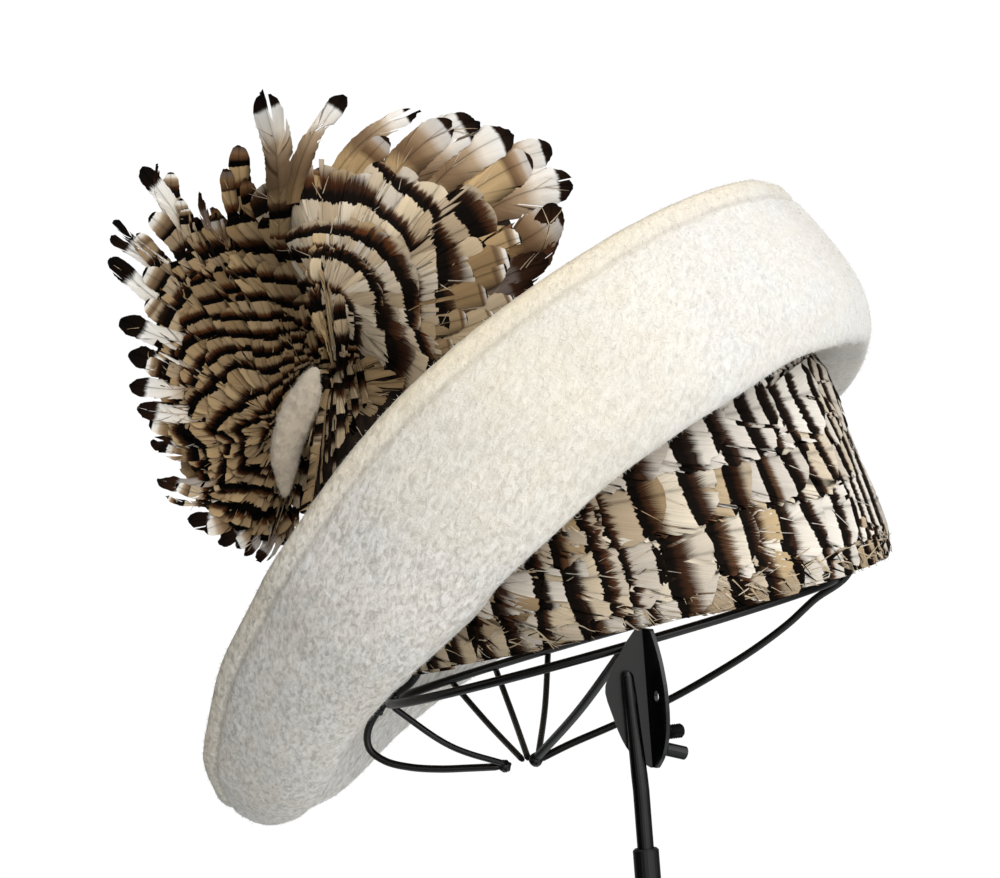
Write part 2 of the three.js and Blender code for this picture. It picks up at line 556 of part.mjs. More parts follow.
// its upper end leans a little into the bracket
for (let i = 0, p = rod.geometry.attributes.position; i < p.count; i++) {
  const t = Math.max(0, (p.getZ(i) - 198) / (ROD.top - 198));
  p.setX(i, p.getX(i) - ROD.lean * t);
}
rod.geometry.computeVertexNormals();
stand.add(rod);
stand.add(turned('rod_sleeve', [[0, FOOT.h + FOOT.boss_h + 0.3], [SLEEVE.d / 2, FOOT.h + FOOT.boss_h + 0.3], [SLEEVE.d / 2, SLEEVE.top - 0.8],
  [SLEEVE.d / 2 - 0.8, SLEEVE.top], [SLEEVE.bore / 2, SLEEVE.top], [SLEEVE.bore / 2, ROD.bottom - 0.6], [0, ROD.bottom - 0.6]], 24, blackPaint()));
stand.add(turned('stand_base', [[0, 0], [FOOT.d / 2 - 1, 0], [FOOT.d / 2, 1], [FOOT.d / 2, FOOT.h - 1.2], [FOOT.d / 2 - 1.2, FOOT.h],
  [FOOT.boss_d / 2 + 2, FOOT.h], [FOOT.boss_d / 2, FOOT.h + 1.5], [FOOT.boss_d / 2 - 1, FOOT.h + FOOT.boss_h], [0, FOOT.h + FOOT.boss_h]], 64, blackPaint()));

const root = new THREE.Group();
root.add(hat, fan, stand);
export default root;
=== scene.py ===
"""Looks of the feathered felt hat on its wire stand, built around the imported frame."""

import math

import bpy
import numpy as np
from mathutils import Matrix, Vector


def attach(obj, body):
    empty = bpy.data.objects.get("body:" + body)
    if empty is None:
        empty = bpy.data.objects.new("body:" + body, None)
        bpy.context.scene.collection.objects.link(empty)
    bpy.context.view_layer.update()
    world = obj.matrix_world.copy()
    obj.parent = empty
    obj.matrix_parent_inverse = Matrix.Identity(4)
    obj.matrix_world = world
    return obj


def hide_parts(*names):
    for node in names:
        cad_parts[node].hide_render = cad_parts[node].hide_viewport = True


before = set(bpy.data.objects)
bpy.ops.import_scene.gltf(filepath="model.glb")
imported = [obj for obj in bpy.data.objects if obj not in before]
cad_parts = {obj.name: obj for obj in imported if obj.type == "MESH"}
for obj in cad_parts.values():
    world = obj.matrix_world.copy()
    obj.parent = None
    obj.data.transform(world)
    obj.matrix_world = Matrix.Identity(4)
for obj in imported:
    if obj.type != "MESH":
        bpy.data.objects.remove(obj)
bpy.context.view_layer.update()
rng = np.random.default_rng(1887)
MM = 0.001
rad = math.radians

# ------------------------------------------------------------------ sizes, in millimetres (as in the solids)
HAT = np.array([-8.5, 88.0, 260.0])
TILT = rad(9)
OPEN_LONG, OPEN_WIDE = 104.5, 87.8
CROWN_TOP, CROWN_WALL = 124.0, 3.6
FELT, HEM, HEM_WIDTH, GAP = 3.0, 6.4, 9.0, 0.95

CROWN_ROWS = np.array([  # v, scale
    [0, 1.0], [5, 1.026], [14, 1.034], [28, 1.018], [42, 0.99], [56, 0.972], [70, 0.964], [82, 0.944], [92, 0.9],
    [101, 0.84], [109, 0.75], [115, 0.64], [119.5, 0.5], [122.5, 0.33], [123.8, 0.15], [124.0, 0.02]])

BRIM_COLUMNS = ["turn", "a_v", "f_u", "f_w", "f_v", "r_u", "r_w", "r_v", "belly", "drop"]
BRIM_ROWS = np.array([
    [0, 3, -169, 0, -51, -197, 0, -33, 6, 0],
    [15, 3, -154, 27, -48, -193, 24, -17, 7, 0],
    [27, 4, -139, 46, -38, -183, 39, -1, 8, 1],
    [37, 5, -126, 62, -24, -166, 58, 21.5, 8, 5],
    [50, 10, -103, 80, -8, -141.5, 80, 45, 8, 9],
    [63, 20, -79, 93, 5, -118, 96, 65, 8.5, 12],
    [79, 42, -34, 103, 31, -69.5, 111, 101.5, 9, 16],
    [102, 65, 13, 102, 56, -20.5, 112, 129, 9, 20],
    [123, 83, 56, 89, 75, 30.5, 99, 150, 9, 23],
    [145, 95, 92, 62, 88, 69, 71, 162, 9.5, 21],
    [163, 98, 110, 35, 91, 88, 39, 164, 10, 11],
    [180, 96, 118, 0, 90, 95, 0, 161, 10, 0]], float)

FAN = dict(pit=5.0, u=-94.7, w=-50.0, v=124.5, yaw=11.0, lift=1.67, roll=4.5)
FAN_ROWS = np.array([  # turn, reach, middle, edge
    [-98, 60, 14, 31], [-80, 51, 14, 29], [-60, 46, 14, 28], [-40, 45, 14, 27], [-20, 47, 14, 26], [0, 54, 15, 25],
    [16, 68, 17, 23], [25, 90, 20, 16], [32, 110, 21, 9], [41, 122, 22, 4], [52, 124, 24, 1], [64, 117, 26, 0],
    [78, 107, 27, 2], [90, 101, 27, 5], [99, 97, 25, 4], [107, 94, 9, -6], [118, 92, -12, -14], [133, 98, -24, -17],
    [150, 98, -31, -21], [165, 89, -34, -25], [180, 80, -34, -27], [195, 77, -32, -27], [210, 79, -29, -26],
    [225, 81, -26, -24], [238, 80, -23, -22], [245, 79, -21, -20], [248.5, 54, -19, -18], [256, 54, -12, -12]], float)

CRESCENT_ROWS = np.array([  # x, y, z, r
    [-4.8, 5, 9, 1.5], [-7.4, 0, 8, 4], [-8.9, -5, 7, 5.9], [-11, -10, 5.5, 6.9], [-13.6, -15.8, 4, 6.9], [-16, -21.5, 2.5, 6.9],
    [-17.6, -27.5, 1, 6.2], [-18.2, -33, 0, 5.5], [-18.3, -38, -1, 4.3], [-18.4, -43, -2, 2.8], [-18.6, -47.5, -2, 1.3]])

# where the dark bars start on the crown's side, in millimetres round it from the front, read 20 mm up
CROWN_BARS = [-20, -6, 8, 22, 36, 50, 64, 78, 90, 110, 126, 143, 161, 183, 201, 218, 237, 250, 262, 273, 284, 294, 305, 317, 330]
# the same on its seen side, read in the picture: at heights over the lower edge, where each bar starts
# along that edge; then how long its black and its rust are
SIDE_ORIGIN, SIDE_RUN = (520, 672), (0.9725, -0.2328)
SIDE_HEIGHTS = [20, 60, 90, 120, 150, 180, 210]
SIDE_BARS = [
    ([-160, -166, -170, -174, -178, -182, -186], 9, 5), ([-132, -138, -142, -146, -150, -154, -158], 9, 5), ([-106, -111, -115, -119, -123, -127, -131], 9, 6),
    ([-84, -88, -92, -96, -100, -104, -108], 9, 5), ([-60, -66, -70, -74, -78, -82, -86], 10, 6), ([-32, -38, -42, -46, -50, -54, -58], 10, 5),
    ([-3, -8, -11, -15, -19, -23, -27], 8, 14), ([28, 32, 36, 34, 30, 26, 22], 10, 4), ([74, 66, 63, 59, 55, 50, 45], 14, 8),
    ([112, 104, 101, 99, 92, 84, 76], 6, 13), ([137, 126, 122, 117, 110, 102, 94], 9, 2), ([171, 162, 161, 158, 152, 145, 138], 11, 16),
    ([223, 217, 214, 205, 201, 198, 190], 13, 13), ([257, 250, 250, 248, 246, 238, 231], 9, 9), ([291, 282, 283, 281, 277, 271, 265], 10, 5),
    ([326, 321, 311, 309, 301, 294, 287], 10, 2), ([346, 342, 342, 331, 322, 313, 307], 8, 1), ([361, 358, 359, 353, 345, 336, 327], 5, 1),
    ([371, 369, 368, 365, 360, 353, 347], 4, 1), ([379, 377, 375, 372, 368, 362, 357], 3, 1), ([385, 384, 382, 378, 374, 369, 365], 3, 1), ([391, 390, 388, 384, 381, 377, 374], 3, 1)]

# the fan's dark bars, read round two points of a picture 1000 wide: at each turn (degrees clockwise
# from straight up) a bar's inner edge, where its black ends and where its rust ends, in picture widths / 1000
REAR_CENTRE, FORE_CENTRE = (334, 358), (288, 430)
REAR_ROOT = (326, 304)                 # the rear feathers spread from here
REAR_TURNS = [-60, -20, -10, 0, 10, 16, 20, 30, 37, 41, 45, 50, 60, 70, 80, 90, 110]
REAR_BARS = [
    ([20, 19, 18, 17, 16, 15, 15, 14, 14, 14, 14, 14, 14, 14, 14, 14, 14], 5, 1),
    ([90, 76, 72, 64, 57, 50, 45, 37, 33, 31, 28, 26, 25, 24, 25, 24, 24], 6, 1),
    ([115, 106, 104, 100, 95, 91, 88, 79, 75, 60, 56, 54, 51, 50, 51, 54, 56],
     [7, 8, 8, 9, 12, 11, 10, 9, 8, 8, 12, 13, 11, 10, 10, 11, 12], [1, 1, 1, 1, 1, 1, 1, 1, 1, 6, 9, 10, 13, 15, 15, 15, 14]),
    ([150, 124, 124, 122, 120, 118, 116, 108, 102, 99, 95, 88, 78, 76, 80, 92, 96],
     [8, 6, 7, 7, 7, 8, 8, 8, 10, 12, 16, 20, 19, 11, 7, 5, 8], [6, 1, 2, 2, 3, 9, 12, 14, 12, 2, 1, 2, 2, 2, 1, 2, 8]),
    ([176, 160, 160, 159, 156, 152, 148, 137, 128, 157.4, 145.4, 131.4, 115.4, 110.4, 111.4, 129.4, 149.4],
     [12, 11, 12, 9, 9, 9, 9, 10, 7, 0.2, 0.2, 0.2, 0.2, 0.2, 0.2, 0.2, 0.2], [10, 9, 14, 19, 17, 6, 2, 2, 2, 0.2, 0.2, 0.2, 0.2, 0.2, 0.2, 0.2, 0.2]),
    ([215, 212, 212, 212, 206, 188, 181, 175, 171, 158, 146, 132, 116, 111, 112, 130, 150],
     [6, 4, 4, 4, 4, 5, 9, 11, 8, 4, 12, 18, 12, 11, 6, 6, 6], [6, 4, 4, 4, 4, 1, 1, 1, 1, 2, 6, 12, 17, 9, 6, 6, 6]),
    ([245, 240, 240, 240, 240, 238, 235, 215, 190, 184, 183, 182, 186, 176, 170, 180, 190],
     [6, 6, 6, 6, 6, 6, 6, 4, 15, 21, 22, 21, 4, 6, 6, 6, 6], [8, 8, 8, 8, 8, 8, 8, 4, 11, 12, 12, 10, 5, 6, 6, 6, 6])]
REAR_REACH = [(-24, 182), (-10, 188), (0, 188), (10, 184), (16, 194), (30, 193), (35, 212), (41, 219), (50, 214), (56, 188), (62, 150), (70, 134), (78, 100), (90, 104), (110, 110)]
FORE_TURNS = [-180, -150, -140, -130, -120, -110, -100, -90, -80, -70, -60, -50, -40, -30, -20, -10, 0, 10, 20, 30, 50]
FORE_BARS = [
    ([14, 18, 22, 26, 20, 18, 17, 17, 16, 15, 14, 10, 9, 10, 12, 16, 20, 30, 44, 60, 70], 6, 2),
    ([36, 40, 45, 56, 44, 41, 38, 44, 38, 30, 26, 18, 17, 22, 28, 32, 36, 44, 58, 72, 82], 8, 5),
    ([58, 60, 66, 80, 70, 62, 56, 72, 60, 55, 48, 44, 40, 36, 42, 46, 50, 56, 68, 80, 94],
     [6, 6, 12, 13, 9, 5, 4, 10, 12, 10, 8, 8, 6, 6, 5, 5, 5, 5, 5, 5, 5], 3),
    ([76, 78, 90, 100, 93, 82, 80, 99, 97, 92, 84, 80, 78, 66, 58, 60, 64, 68, 78, 88, 106],
     [8, 24, 9, 8, 10, 17, 18, 12, 11, 9, 9, 10, 8, 7, 6, 6, 6, 5, 5, 4, 4], [8, 2, 3, 4, 3, 2, 2, 3, 4, 4, 3, 3, 4, 4, 4, 4, 4, 3, 3, 3, 3]),
    ([108, 110, 114, 119, 116, 112, 112, 124, 120, 106, 106, 103, 97, 88, 76, 76, 78, 80, 88, 97, 118], 7, 4),
    ([130, 132, 136, 138, 136, 132, 134, 146, 140, 127, 127, 126, 118, 108, 96, 92, 92, 93, 98, 106, 130],
     [7, 7, 7, 7, 7, 7, 7, 7, 8, 9, 9, 10, 8, 7, 6, 6, 6, 5, 5, 5, 5], 4),
    ([150, 152, 156, 158, 156, 152, 154, 166, 162, 150, 147, 142, 137, 127, 116, 109, 107, 106, 110, 116, 142],
     [7, 7, 7, 7, 7, 7, 7, 7, 8, 9, 10, 13, 10, 7, 6, 6, 6, 5, 5, 5, 5], 4),
    ([170, 172, 176, 178, 176, 172, 174, 186, 182, 172, 170, 166, 160, 148, 138, 130, 124, 120, 121, 126, 154], 7, 4),
    ([190, 192, 196, 198, 196, 192, 194, 206, 202, 194, 190, 188, 182, 172, 162, 154, 147, 139, 132, 134, 166], 7, 3),
    ([210, 212, 216, 218, 216, 212, 214, 226, 222, 214, 210, 208, 205, 195, 187, 180, 172, 164, 156, 150, 178], 9, 6),
    ([230, 232, 236, 238, 236, 232, 234, 246, 242, 234, 230, 228, 226, 222, 216, 210, 203, 196, 190, 185, 196], 10, 9)]
FORE_REACH = [(-180, 108), (-150, 114), (-130, 111), (-120, 107), (-110, 107), (-100, 111), (-90, 121), (-80, 129), (-70, 138), (-60, 150), (-50, 168), (-40, 190), (-30, 208), (-20, 222), (-10, 228), (0, 222), (10, 205), (20, 176), (30, 150)]

# the fan's free tips, where they are seen in a picture 1000 wide: tip, root, half width, dark end, bend, warmth
TIP_ROWS = [
    (268, 96, 286, 238, 13.5, 16, -9, 0.1), (345, 99, 298, 205, 9.5, 15, 10, 0.1), (417, 115, 335, 178, 11, 11, 10, 0.1),
    (388, 142, 330, 215, 13, 4, 4, 0.6), (476, 124, 392, 200, 22, 15, 12, 0.2), (512, 137, 420, 205, 20, 14, 10, 0.2),
    (452, 128, 372, 210, 18, 9, 8, 0.4), (552, 150, 446, 214, 17, 10, 10, 0.2), (573, 186, 462, 232, 20, 15, 12, 0.2),
    (530, 162, 430, 232, 22, 4, 8, 0.5), (560, 214, 470, 262, 20, 8, -6, 0.5), (548, 205, 520, 282, 15, 40, -8, 1.0),
    (548, 262, 470, 300, 14, 34, 6, 0.9), (508, 258, 404, 316, 19, 2, 7, 0.0), (486, 292, 384, 340, 15, 1, 6, 0.35), (468, 318, 372, 356, 13, 1, 5, 0.45), (520, 238, 440, 290, 18, 2, 8, 0.1), (505, 268, 425, 312, 16, 2, 6, 0.1),
    (243, 146, 262, 232, 11, 2, 8, 0.95), (230, 168, 250, 238, 9, 3, 6, 0.9), (214, 204, 236, 250, 9, 2, 5, 1.0), (252, 178, 270, 236, 9, 2, 4, 1.0), (306, 168, 304, 226, 8, 2, 3, 0.95), (322, 172, 318, 226, 8, 1, 3, 0.95), (203, 192, 232, 246, 4, 14, 9, 0.9), (218, 214, 252, 262, 8, 4, 7, 0.5),
    (171, 171, 196, 250, 8, 2, 6, -0.6), (186, 204, 208, 264, 8, 1, 5, -0.4), (158, 165, 168, 214, 3, 20, 5, 0.5), (141, 167, 205, 268, 9, 22, -6, -0.3), (181, 196, 212, 262, 7, 2, 6, -0.2),
    (115, 218, 168, 262, 4, 28, 4, 0.0), (150, 214, 194, 270, 11, 3, -6, -0.4), (136, 232, 190, 286, 10, 2, 4, -0.3), (111, 236, 176, 288, 6, 20, -4, 0.2), (111, 256, 182, 312, 9, 26, 6, -0.2),
    (140, 268, 205, 318, 12, 3, -4, -0.5), (119, 318, 196, 342, 11, 24, 6, -0.2), (142, 300, 214, 336, 11, 2, 4, -0.3), (128, 352, 200, 366, 11, 24, 6, -0.2),
    (128, 384, 202, 386, 10, 16, 5, 0.1), (140, 366, 214, 392, 10, 2, -4, -0.3), (135, 408, 206, 412, 9, 19, 5, 0.2), (148, 424, 216, 418, 11, 3, 4, -0.2),
    (149, 441, 206, 440, 8, 22, 7, 0.4), (160, 452, 222, 446, 8, 3, 6, 0.2), (157, 479, 222, 470, 7, 18, 12, 0.6), (167, 499, 226, 494, 3, 1, 9, -0.9),
    (174, 488, 232, 484, 6, 2, 9, -0.6), (187, 521, 240, 508, 9, 22, 7, 0.1), (204, 532, 250, 506, 9, 4, 4, -0.2), (219, 541, 258, 512, 9, 20, 6, 0.2),
    (236, 548, 268, 512, 8, 4, 5, 0.1), (246, 556, 276, 518, 8, 14, 4, 0.5), (262, 562, 284, 522, 7, 10, 4, 0.6),
    (532, 283, 456, 302, 13, 22, -5, 0.9), (513, 301, 428, 326, 15, 1, -4, -0.85), (495, 317, 410, 338, 14, 1, -4, -0.7), (475, 333, 398, 349, 13, 1, -3, -0.2), (457, 345, 388, 357, 11, 1, -3, 0.1)]
# narrow strips up the fold and beside the crescent, the same way: tip, root, half width, length of a bar (0: none), paleness
STREAK_ROWS = [
    (340, 290, 345, 348, 7, 30, 0.35), (326, 296, 336, 354, 2.2, 0, 0.9), (318, 280, 329, 344, 2.2, 40, 0.1), (321, 268, 334, 338, 2.0, 0, 0.2),
    (315, 292, 327, 352, 2.0, 30, 0.0), (323, 312, 333, 356, 2.0, 0, 0.0), (330, 282, 338, 330, 2.4, 0, 0.2), (311, 300, 325, 356, 2.2, 26, 0.1),
    (344, 452, 343, 338, 5.6, 34, 0.45), (362, 422, 354, 346, 4.8, 30, 0.25), (352, 440, 349, 372, 2.6, 30, 0.0), (371, 410, 363, 356, 5, 38, 0.1), (420, 366, 356, 372, 15, 0, 0.1), (404, 382, 352, 384, 14, 0, 0.05), (388, 398, 348, 396, 12, 0, 0.1),
    (336, 458, 337, 372, 2.6, 26, 0.3), (330, 468, 334, 384, 2.2, 30, 0.4), (324, 476, 331, 394, 2.0, 0, 0.0), (318, 484, 329, 402, 1.8, 24, 0.5),
    (311, 492, 326, 410, 1.8, 0, 0.1), (305, 500, 323, 416, 1.8, 22, 0.6), (299, 508, 320, 424, 1.8, 34, 0.2), (293, 516, 316, 432, 1.8, 20, 0.5),
    (287, 525, 312, 440, 1.8, 24, 0.1), (281, 534, 307, 450, 1.8, 0, 0.4), (276, 542, 301, 462, 1.8, 40, 0.2), (271, 550, 296, 474, 1.8, 0, 0.3),
    (290, 500, 312, 424, 1.5, 0, 0.2), (297, 486, 319, 408, 1.5, 0, 0.0), (304, 474, 325, 398, 1.5, 30, 0.1), (284, 512, 305, 446, 1.5, 0, 0.4),
    (338, 480, 338, 420, 2.2, 28, 0.5), (326, 496, 330, 440, 2.0, 26, 0.3), (312, 512, 322, 450, 2.0, 0, 0.1), (298, 530, 311, 470, 2.0, 24, 0.5),
    (378, 412, 346, 406, 11, 0, 0.1), (362, 430, 344, 418, 9.5, 44, 0.05)]


# ------------------------------------------------------------------ helpers
def column(rows, k, t):
    t = np.asarray(t, float)
    n = len(rows)
    i = np.clip(np.floor(t).astype(int), 0, n - 2)
    f = t - i
    p = lambda j: rows[np.clip(j, 0, n - 1), k]
    p0, p1, p2, p3 = p(i - 1), p(i), p(i + 1), p(i + 2)
    return 0.5 * (2 * p1 + (p2 - p0) * f + (2 * p0 - 5 * p1 + 4 * p2 - p3) * f * f + (3 * p1 - p0 - 3 * p2 + p3) * f * f * f)


def hat_world(q):
    q = np.asarray(q, float)
    u, w, v = q[..., 0], q[..., 1], q[..., 2]
    c, s = math.cos(TILT), math.sin(TILT)
    return np.stack([HAT[0] + u * c - v * s, HAT[1] + w, HAT[2] + u * s + v * c], -1)


def unit(a):
    return a / np.maximum(np.linalg.norm(a, axis=-1, keepdims=True), 1e-9)


def smooth(x, a, b):
    t = np.clip((np.asarray(x, float) - a) / (b - a), 0, 1)
    return t * t * (3 - 2 * t)


def waves(x, y, seed, n=5, scale=60.0):
    """Smooth noise: a few seeded sine waves, about -1 to 1."""
    r = np.random.default_rng(seed)
    out = 0
    for _ in range(n):
        a = r.uniform(0, 2 * math.pi)
        k = 2 * math.pi / (scale * r.uniform(0.6, 1.6))
        out = out + np.sin(k * (x * math.cos(a) + y * math.sin(a)) + r.uniform(0, 6.28))
    return out / n ** 0.5 / 1.2


def make(name, verts, faces, mat, smooth_shade=True, attrs=None, corner_uv=None):
    """A mesh object from millimetre points, riding on the one body."""
    verts = np.asarray(verts, np.float32) * MM
    faces = np.asarray(faces, np.int32)
    me = bpy.data.meshes.new(name)
    k = faces.shape[1]
    me.vertices.add(len(verts))
    me.vertices.foreach_set("co", verts.ravel())
    me.loops.add(faces.size)
    me.loops.foreach_set("vertex_index", faces.ravel())
    me.polygons.add(len(faces))
    me.polygons.foreach_set("loop_start", np.arange(len(faces), dtype=np.int32) * k)
    me.polygons.foreach_set("loop_total", np.full(len(faces), k, np.int32))
    me.update(calc_edges=True)
    for an, val in (attrs or {}).items():
        val = np.asarray(val, np.float32)
        if val.ndim == 2:
            at = me.attributes.new(an, "FLOAT_VECTOR", "POINT")
            at.data.foreach_set("vector", val.ravel())
        else:
            at = me.attributes.new(an, "FLOAT", "POINT")
            at.data.foreach_set("value", val)
    me.polygons.foreach_set("use_smooth", np.full(len(faces), smooth_shade, bool))
    ob = bpy.data.objects.new(name, me)
    bpy.context.scene.collection.objects.link(ob)
    if isinstance(mat, (list, tuple)):
        for m in mat:
            me.materials.append(m)
    else:
        me.materials.append(mat)
    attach(ob, "root")
    return ob


def grid_faces(n, m, wrap=False, offset=0, flip=False):
    """Quads of an n by m grid of points, index i * m + j."""
    i = np.arange(n if wrap else n - 1)[:, None]
    j = np.arange(m - 1)[None, :]
    i2 = (i + 1) % n
    f = np.stack([i * m + j, i2 * m + j, i2 * m + j + 1, i * m + j + 1], -1).reshape(-1, 4) + offset
    return f[:, ::-1] if flip else f


# ------------------------------------------------------------------ materials
def srgb(r, g, b):
    f = lambda c: c / 12.92 if c <= 0.04045 else ((c + 0.055) / 1.055) ** 2.4
    return (f(r / 255), f(g / 255), f(b / 255), 1.0)


class Mat:
    """A small builder of node materials."""

    def __init__(s, name):
        s.m = bpy.data.materials.new(name)
        s.m.use_nodes = True
        s.t = s.m.node_tree
        s.t.nodes.clear()
        s.out = s.t.nodes.new("ShaderNodeOutputMaterial")
        s.b = s.t.nodes.new("ShaderNodeBsdfPrincipled")
        s.t.links.new(s.b.outputs[0], s.out.inputs[0])

    def n(s, kind, **kw):
        node = s.t.nodes.new(kind)
        for k, v in kw.items():
            setattr(node, k, v)
        return node

    def put(s, sock, v):
        if isinstance(v, bpy.types.NodeSocket):
            s.t.links.new(v, sock)
        else:
            sock.default_value = v

    def math(s, op, a, b=None, c=None, clamp=False):
        node = s.n("ShaderNodeMath", operation=op, use_clamp=clamp)
        s.put(node.inputs[0], a)
        if b is not None:
            s.put(node.inputs[1], b)
        if c is not None:
            s.put(node.inputs[2], c)
        return node.outputs[0]

    def mix(s, fac, a, b, blend="MIX"):
        node = s.n("ShaderNodeMix", data_type="RGBA", blend_type=blend)
        node.clamp_factor = True
        s.put(node.inputs[0], fac)
        s.put(node.inputs[6], a)
        s.put(node.inputs[7], b)
        return node.outputs[2]

    def noise(s, vec, scale, detail=2.0, rough=0.5, distort=0.0, dims="3D"):
        node = s.n("ShaderNodeTexNoise", noise_dimensions=dims)
        s.put(node.inputs["Vector"], vec)
        node.inputs["Scale"].default_value = scale
        node.inputs["Detail"].default_value = detail
        node.inputs["Roughness"].default_value = rough
        node.inputs["Distortion"].default_value = distort
        return node.outputs[0]

    def ramp(s, fac, stops, interp="LINEAR"):
        node = s.n("ShaderNodeValToRGB")
        cr = node.color_ramp
        cr.interpolation = interp
        while len(cr.elements) > 1:
            cr.elements.remove(cr.elements[0])
        cr.elements[0].position = stops[0][0]
        cr.elements[0].color = stops[0][1]
        for p, c in stops[1:]:
            e = cr.elements.new(p)
            e.color = c
        s.put(node.inputs[0], fac)
        return node.outputs[0]

    def vec(s, x, y, z):
        node = s.n("ShaderNodeCombineXYZ")
        s.put(node.inputs[0], x)
        s.put(node.inputs[1], y)
        s.put(node.inputs[2], z)
        return node.outputs[0]

    def split(s, name):
        at = s.n("ShaderNodeAttribute", attribute_name=name)
        sp = s.n("ShaderNodeSeparateXYZ")
        s.t.links.new(at.outputs["Vector"], sp.inputs[0])
        return sp.outputs

    def bump(s, height, strength, distance):
        node = s.n("ShaderNodeBump")
        node.inputs["Strength"].default_value = strength
        node.inputs["Distance"].default_value = distance
        s.put(node.inputs["Height"], height)
        s.put(s.b.inputs["Normal"], node.outputs[0])
        return node

    def obj_coords(s):
        return s.n("ShaderNodeTexCoord").outputs["Object"]

    def slant(s, vec, degrees, along, across):
        """Coordinates drawn out along a slanting line of the xz plane."""
        node = s.n("ShaderNodeMapping", vector_type="TEXTURE")
        s.put(node.inputs[0], vec)
        node.inputs["Rotation"].default_value = (0, -rad(degrees), 0)
        node.inputs["Scale"].default_value = (along, across, across)
        return node.outputs[0]

    def stretch(s, vec, sx, sy, sz, rot=(0, 0, 0)):
        node = s.n("ShaderNodeMapping")
        node.inputs["Scale"].default_value = (sx, sy, sz)
        node.inputs["Rotation"].default_value = rot
        s.put(node.inputs["Vector"], vec)
        return node.outputs[0]


def g1(v):
    return (v, v, v, 1.0)


# the way the painted light washout grows, towards the brim's brightly lit back
WASHOUT_RUN = [3.511, 0.804, 4.086, -0.897]


def painted_light_washout(m, co):
    """0 low at the brim's front, towards 0.72 high at its back, where the light falls brightest: painted light, the
    mottling there evened out.
    """
    sp = m.n("ShaderNodeSeparateXYZ")
    m.put(sp.inputs[0], co)
    x, y, z = sp.outputs
    d = m.math("ADD", m.math("ADD", m.math("MULTIPLY", x, WASHOUT_RUN[0]), m.math("MULTIPLY", y, WASHOUT_RUN[1])), m.math("ADD", m.math("MULTIPLY", z, WASHOUT_RUN[2]), WASHOUT_RUN[3]))
    return m.math("MULTIPLY", m.math("MULTIPLY", d, 1.0, clamp=True), 0.72)


# the place of the painted warm light, beside the fan
WARM_LIGHT_RUN = [(11.518, 2.211, -0.923, 0.792), (0.841, 0.512, 11.723, -4.246)]


def painted_warm_light(m, co):
    """1 in the middle of the brim's near side beside the fan, 0 from 85 mm off: where painted warm light tints the
    felt.
    """
    sp = m.n("ShaderNodeSeparateXYZ")
    m.put(sp.inputs[0], co)
    x, y, z = sp.outputs
    far = None
    for row in WARM_LIGHT_RUN:
        d = m.math("ADD", m.math("ADD", m.math("MULTIPLY", x, row[0]), m.math("MULTIPLY", y, row[1])), m.math("ADD", m.math("MULTIPLY", z, row[2]), row[3]))
        d = m.math("MULTIPLY", d, d)
        far = d if far is None else m.math("ADD", far, d)
    return m.math("MULTIPLY", m.math("SUBTRACT", 1.0, far, clamp=True), 0.45)


def felt_material(name, tone=None):
    m = Mat(name)
    co = m.obj_coords()
    n1 = m.noise(m.slant(co, 62, 1.6, 0.8), 400, 3, 0.65, 0.6)          # clumps of fibre about 2 mm
    n2 = m.noise(m.stretch(co, 1, 1, 2.4, (0.4, 0.7, 0.2)), 900, 2, 0.6)
    n3 = m.noise(co, 28, 3, 0.5)                 # broad tone
    base = m.ramp(n1, [(0.34, srgb(187, 184, 180)), (0.5, srgb(229, 226, 221)), (0.66, srgb(252, 251, 250))])
    base = m.mix(m.math("MULTIPLY", n2, 0.3), base, srgb(236, 233, 228), "MIX")
    # painted light: the mottling evened out towards the brim's brightly lit back, by a steady share on the crescent
    base = m.mix(painted_light_washout(m, co) if tone is None else 0.6, base, srgb(221, 220, 217))
    warm = m.ramp(n3, [(0.35, srgb(253, 250, 246)), (0.65, srgb(249, 250, 251))])
    col = m.mix(0.9, base, warm, "MULTIPLY")
    if tone is None:
        # painted warm light: the felt beside the fan tinted warm
        col = m.mix(painted_warm_light(m, co), col, srgb(243, 235, 214))
    pink = m.ramp(m.noise(co, 110, 2, 0.5), [(0.42, srgb(255, 255, 255)), (0.62, srgb(252, 248, 241))])
    col = m.mix(0.4, col, pink, "MULTIPLY")
    edge = m.split("hem")                        # x: nearness to the rim, y: to the seam
    # painted warm light: the felt tinted warm near the rim, the brim's upper edge
    col = m.mix(m.math("MULTIPLY", edge[0], 0.8), col, m.mix(1.0, col, srgb(255, 246, 226), "MULTIPLY"))
    col = m.mix(m.math("MULTIPLY", edge[1], 0.35), col, srgb(150, 143, 132))
    # a given tone makes a darker, warmer copy of the felt: painted shade for a piece lying in shade
    if tone is not None:
        col = m.mix(1.0, col, tone, "MULTIPLY")
    m.put(m.b.inputs["Base Color"], col)
    m.b.inputs["Roughness"].default_value = 1.0
    m.b.inputs["Specular IOR Level"].default_value = 0.1
    m.b.inputs["Sheen Weight"].default_value = 0.25
    m.b.inputs["Sheen Roughness"].default_value = 0.6
    h = m.math("ADD", m.math("MULTIPLY", n1, 0.7), m.math("MULTIPLY", n2, 0.4))
    m.bump(h, 0.55, 0.0009)
    return m.m


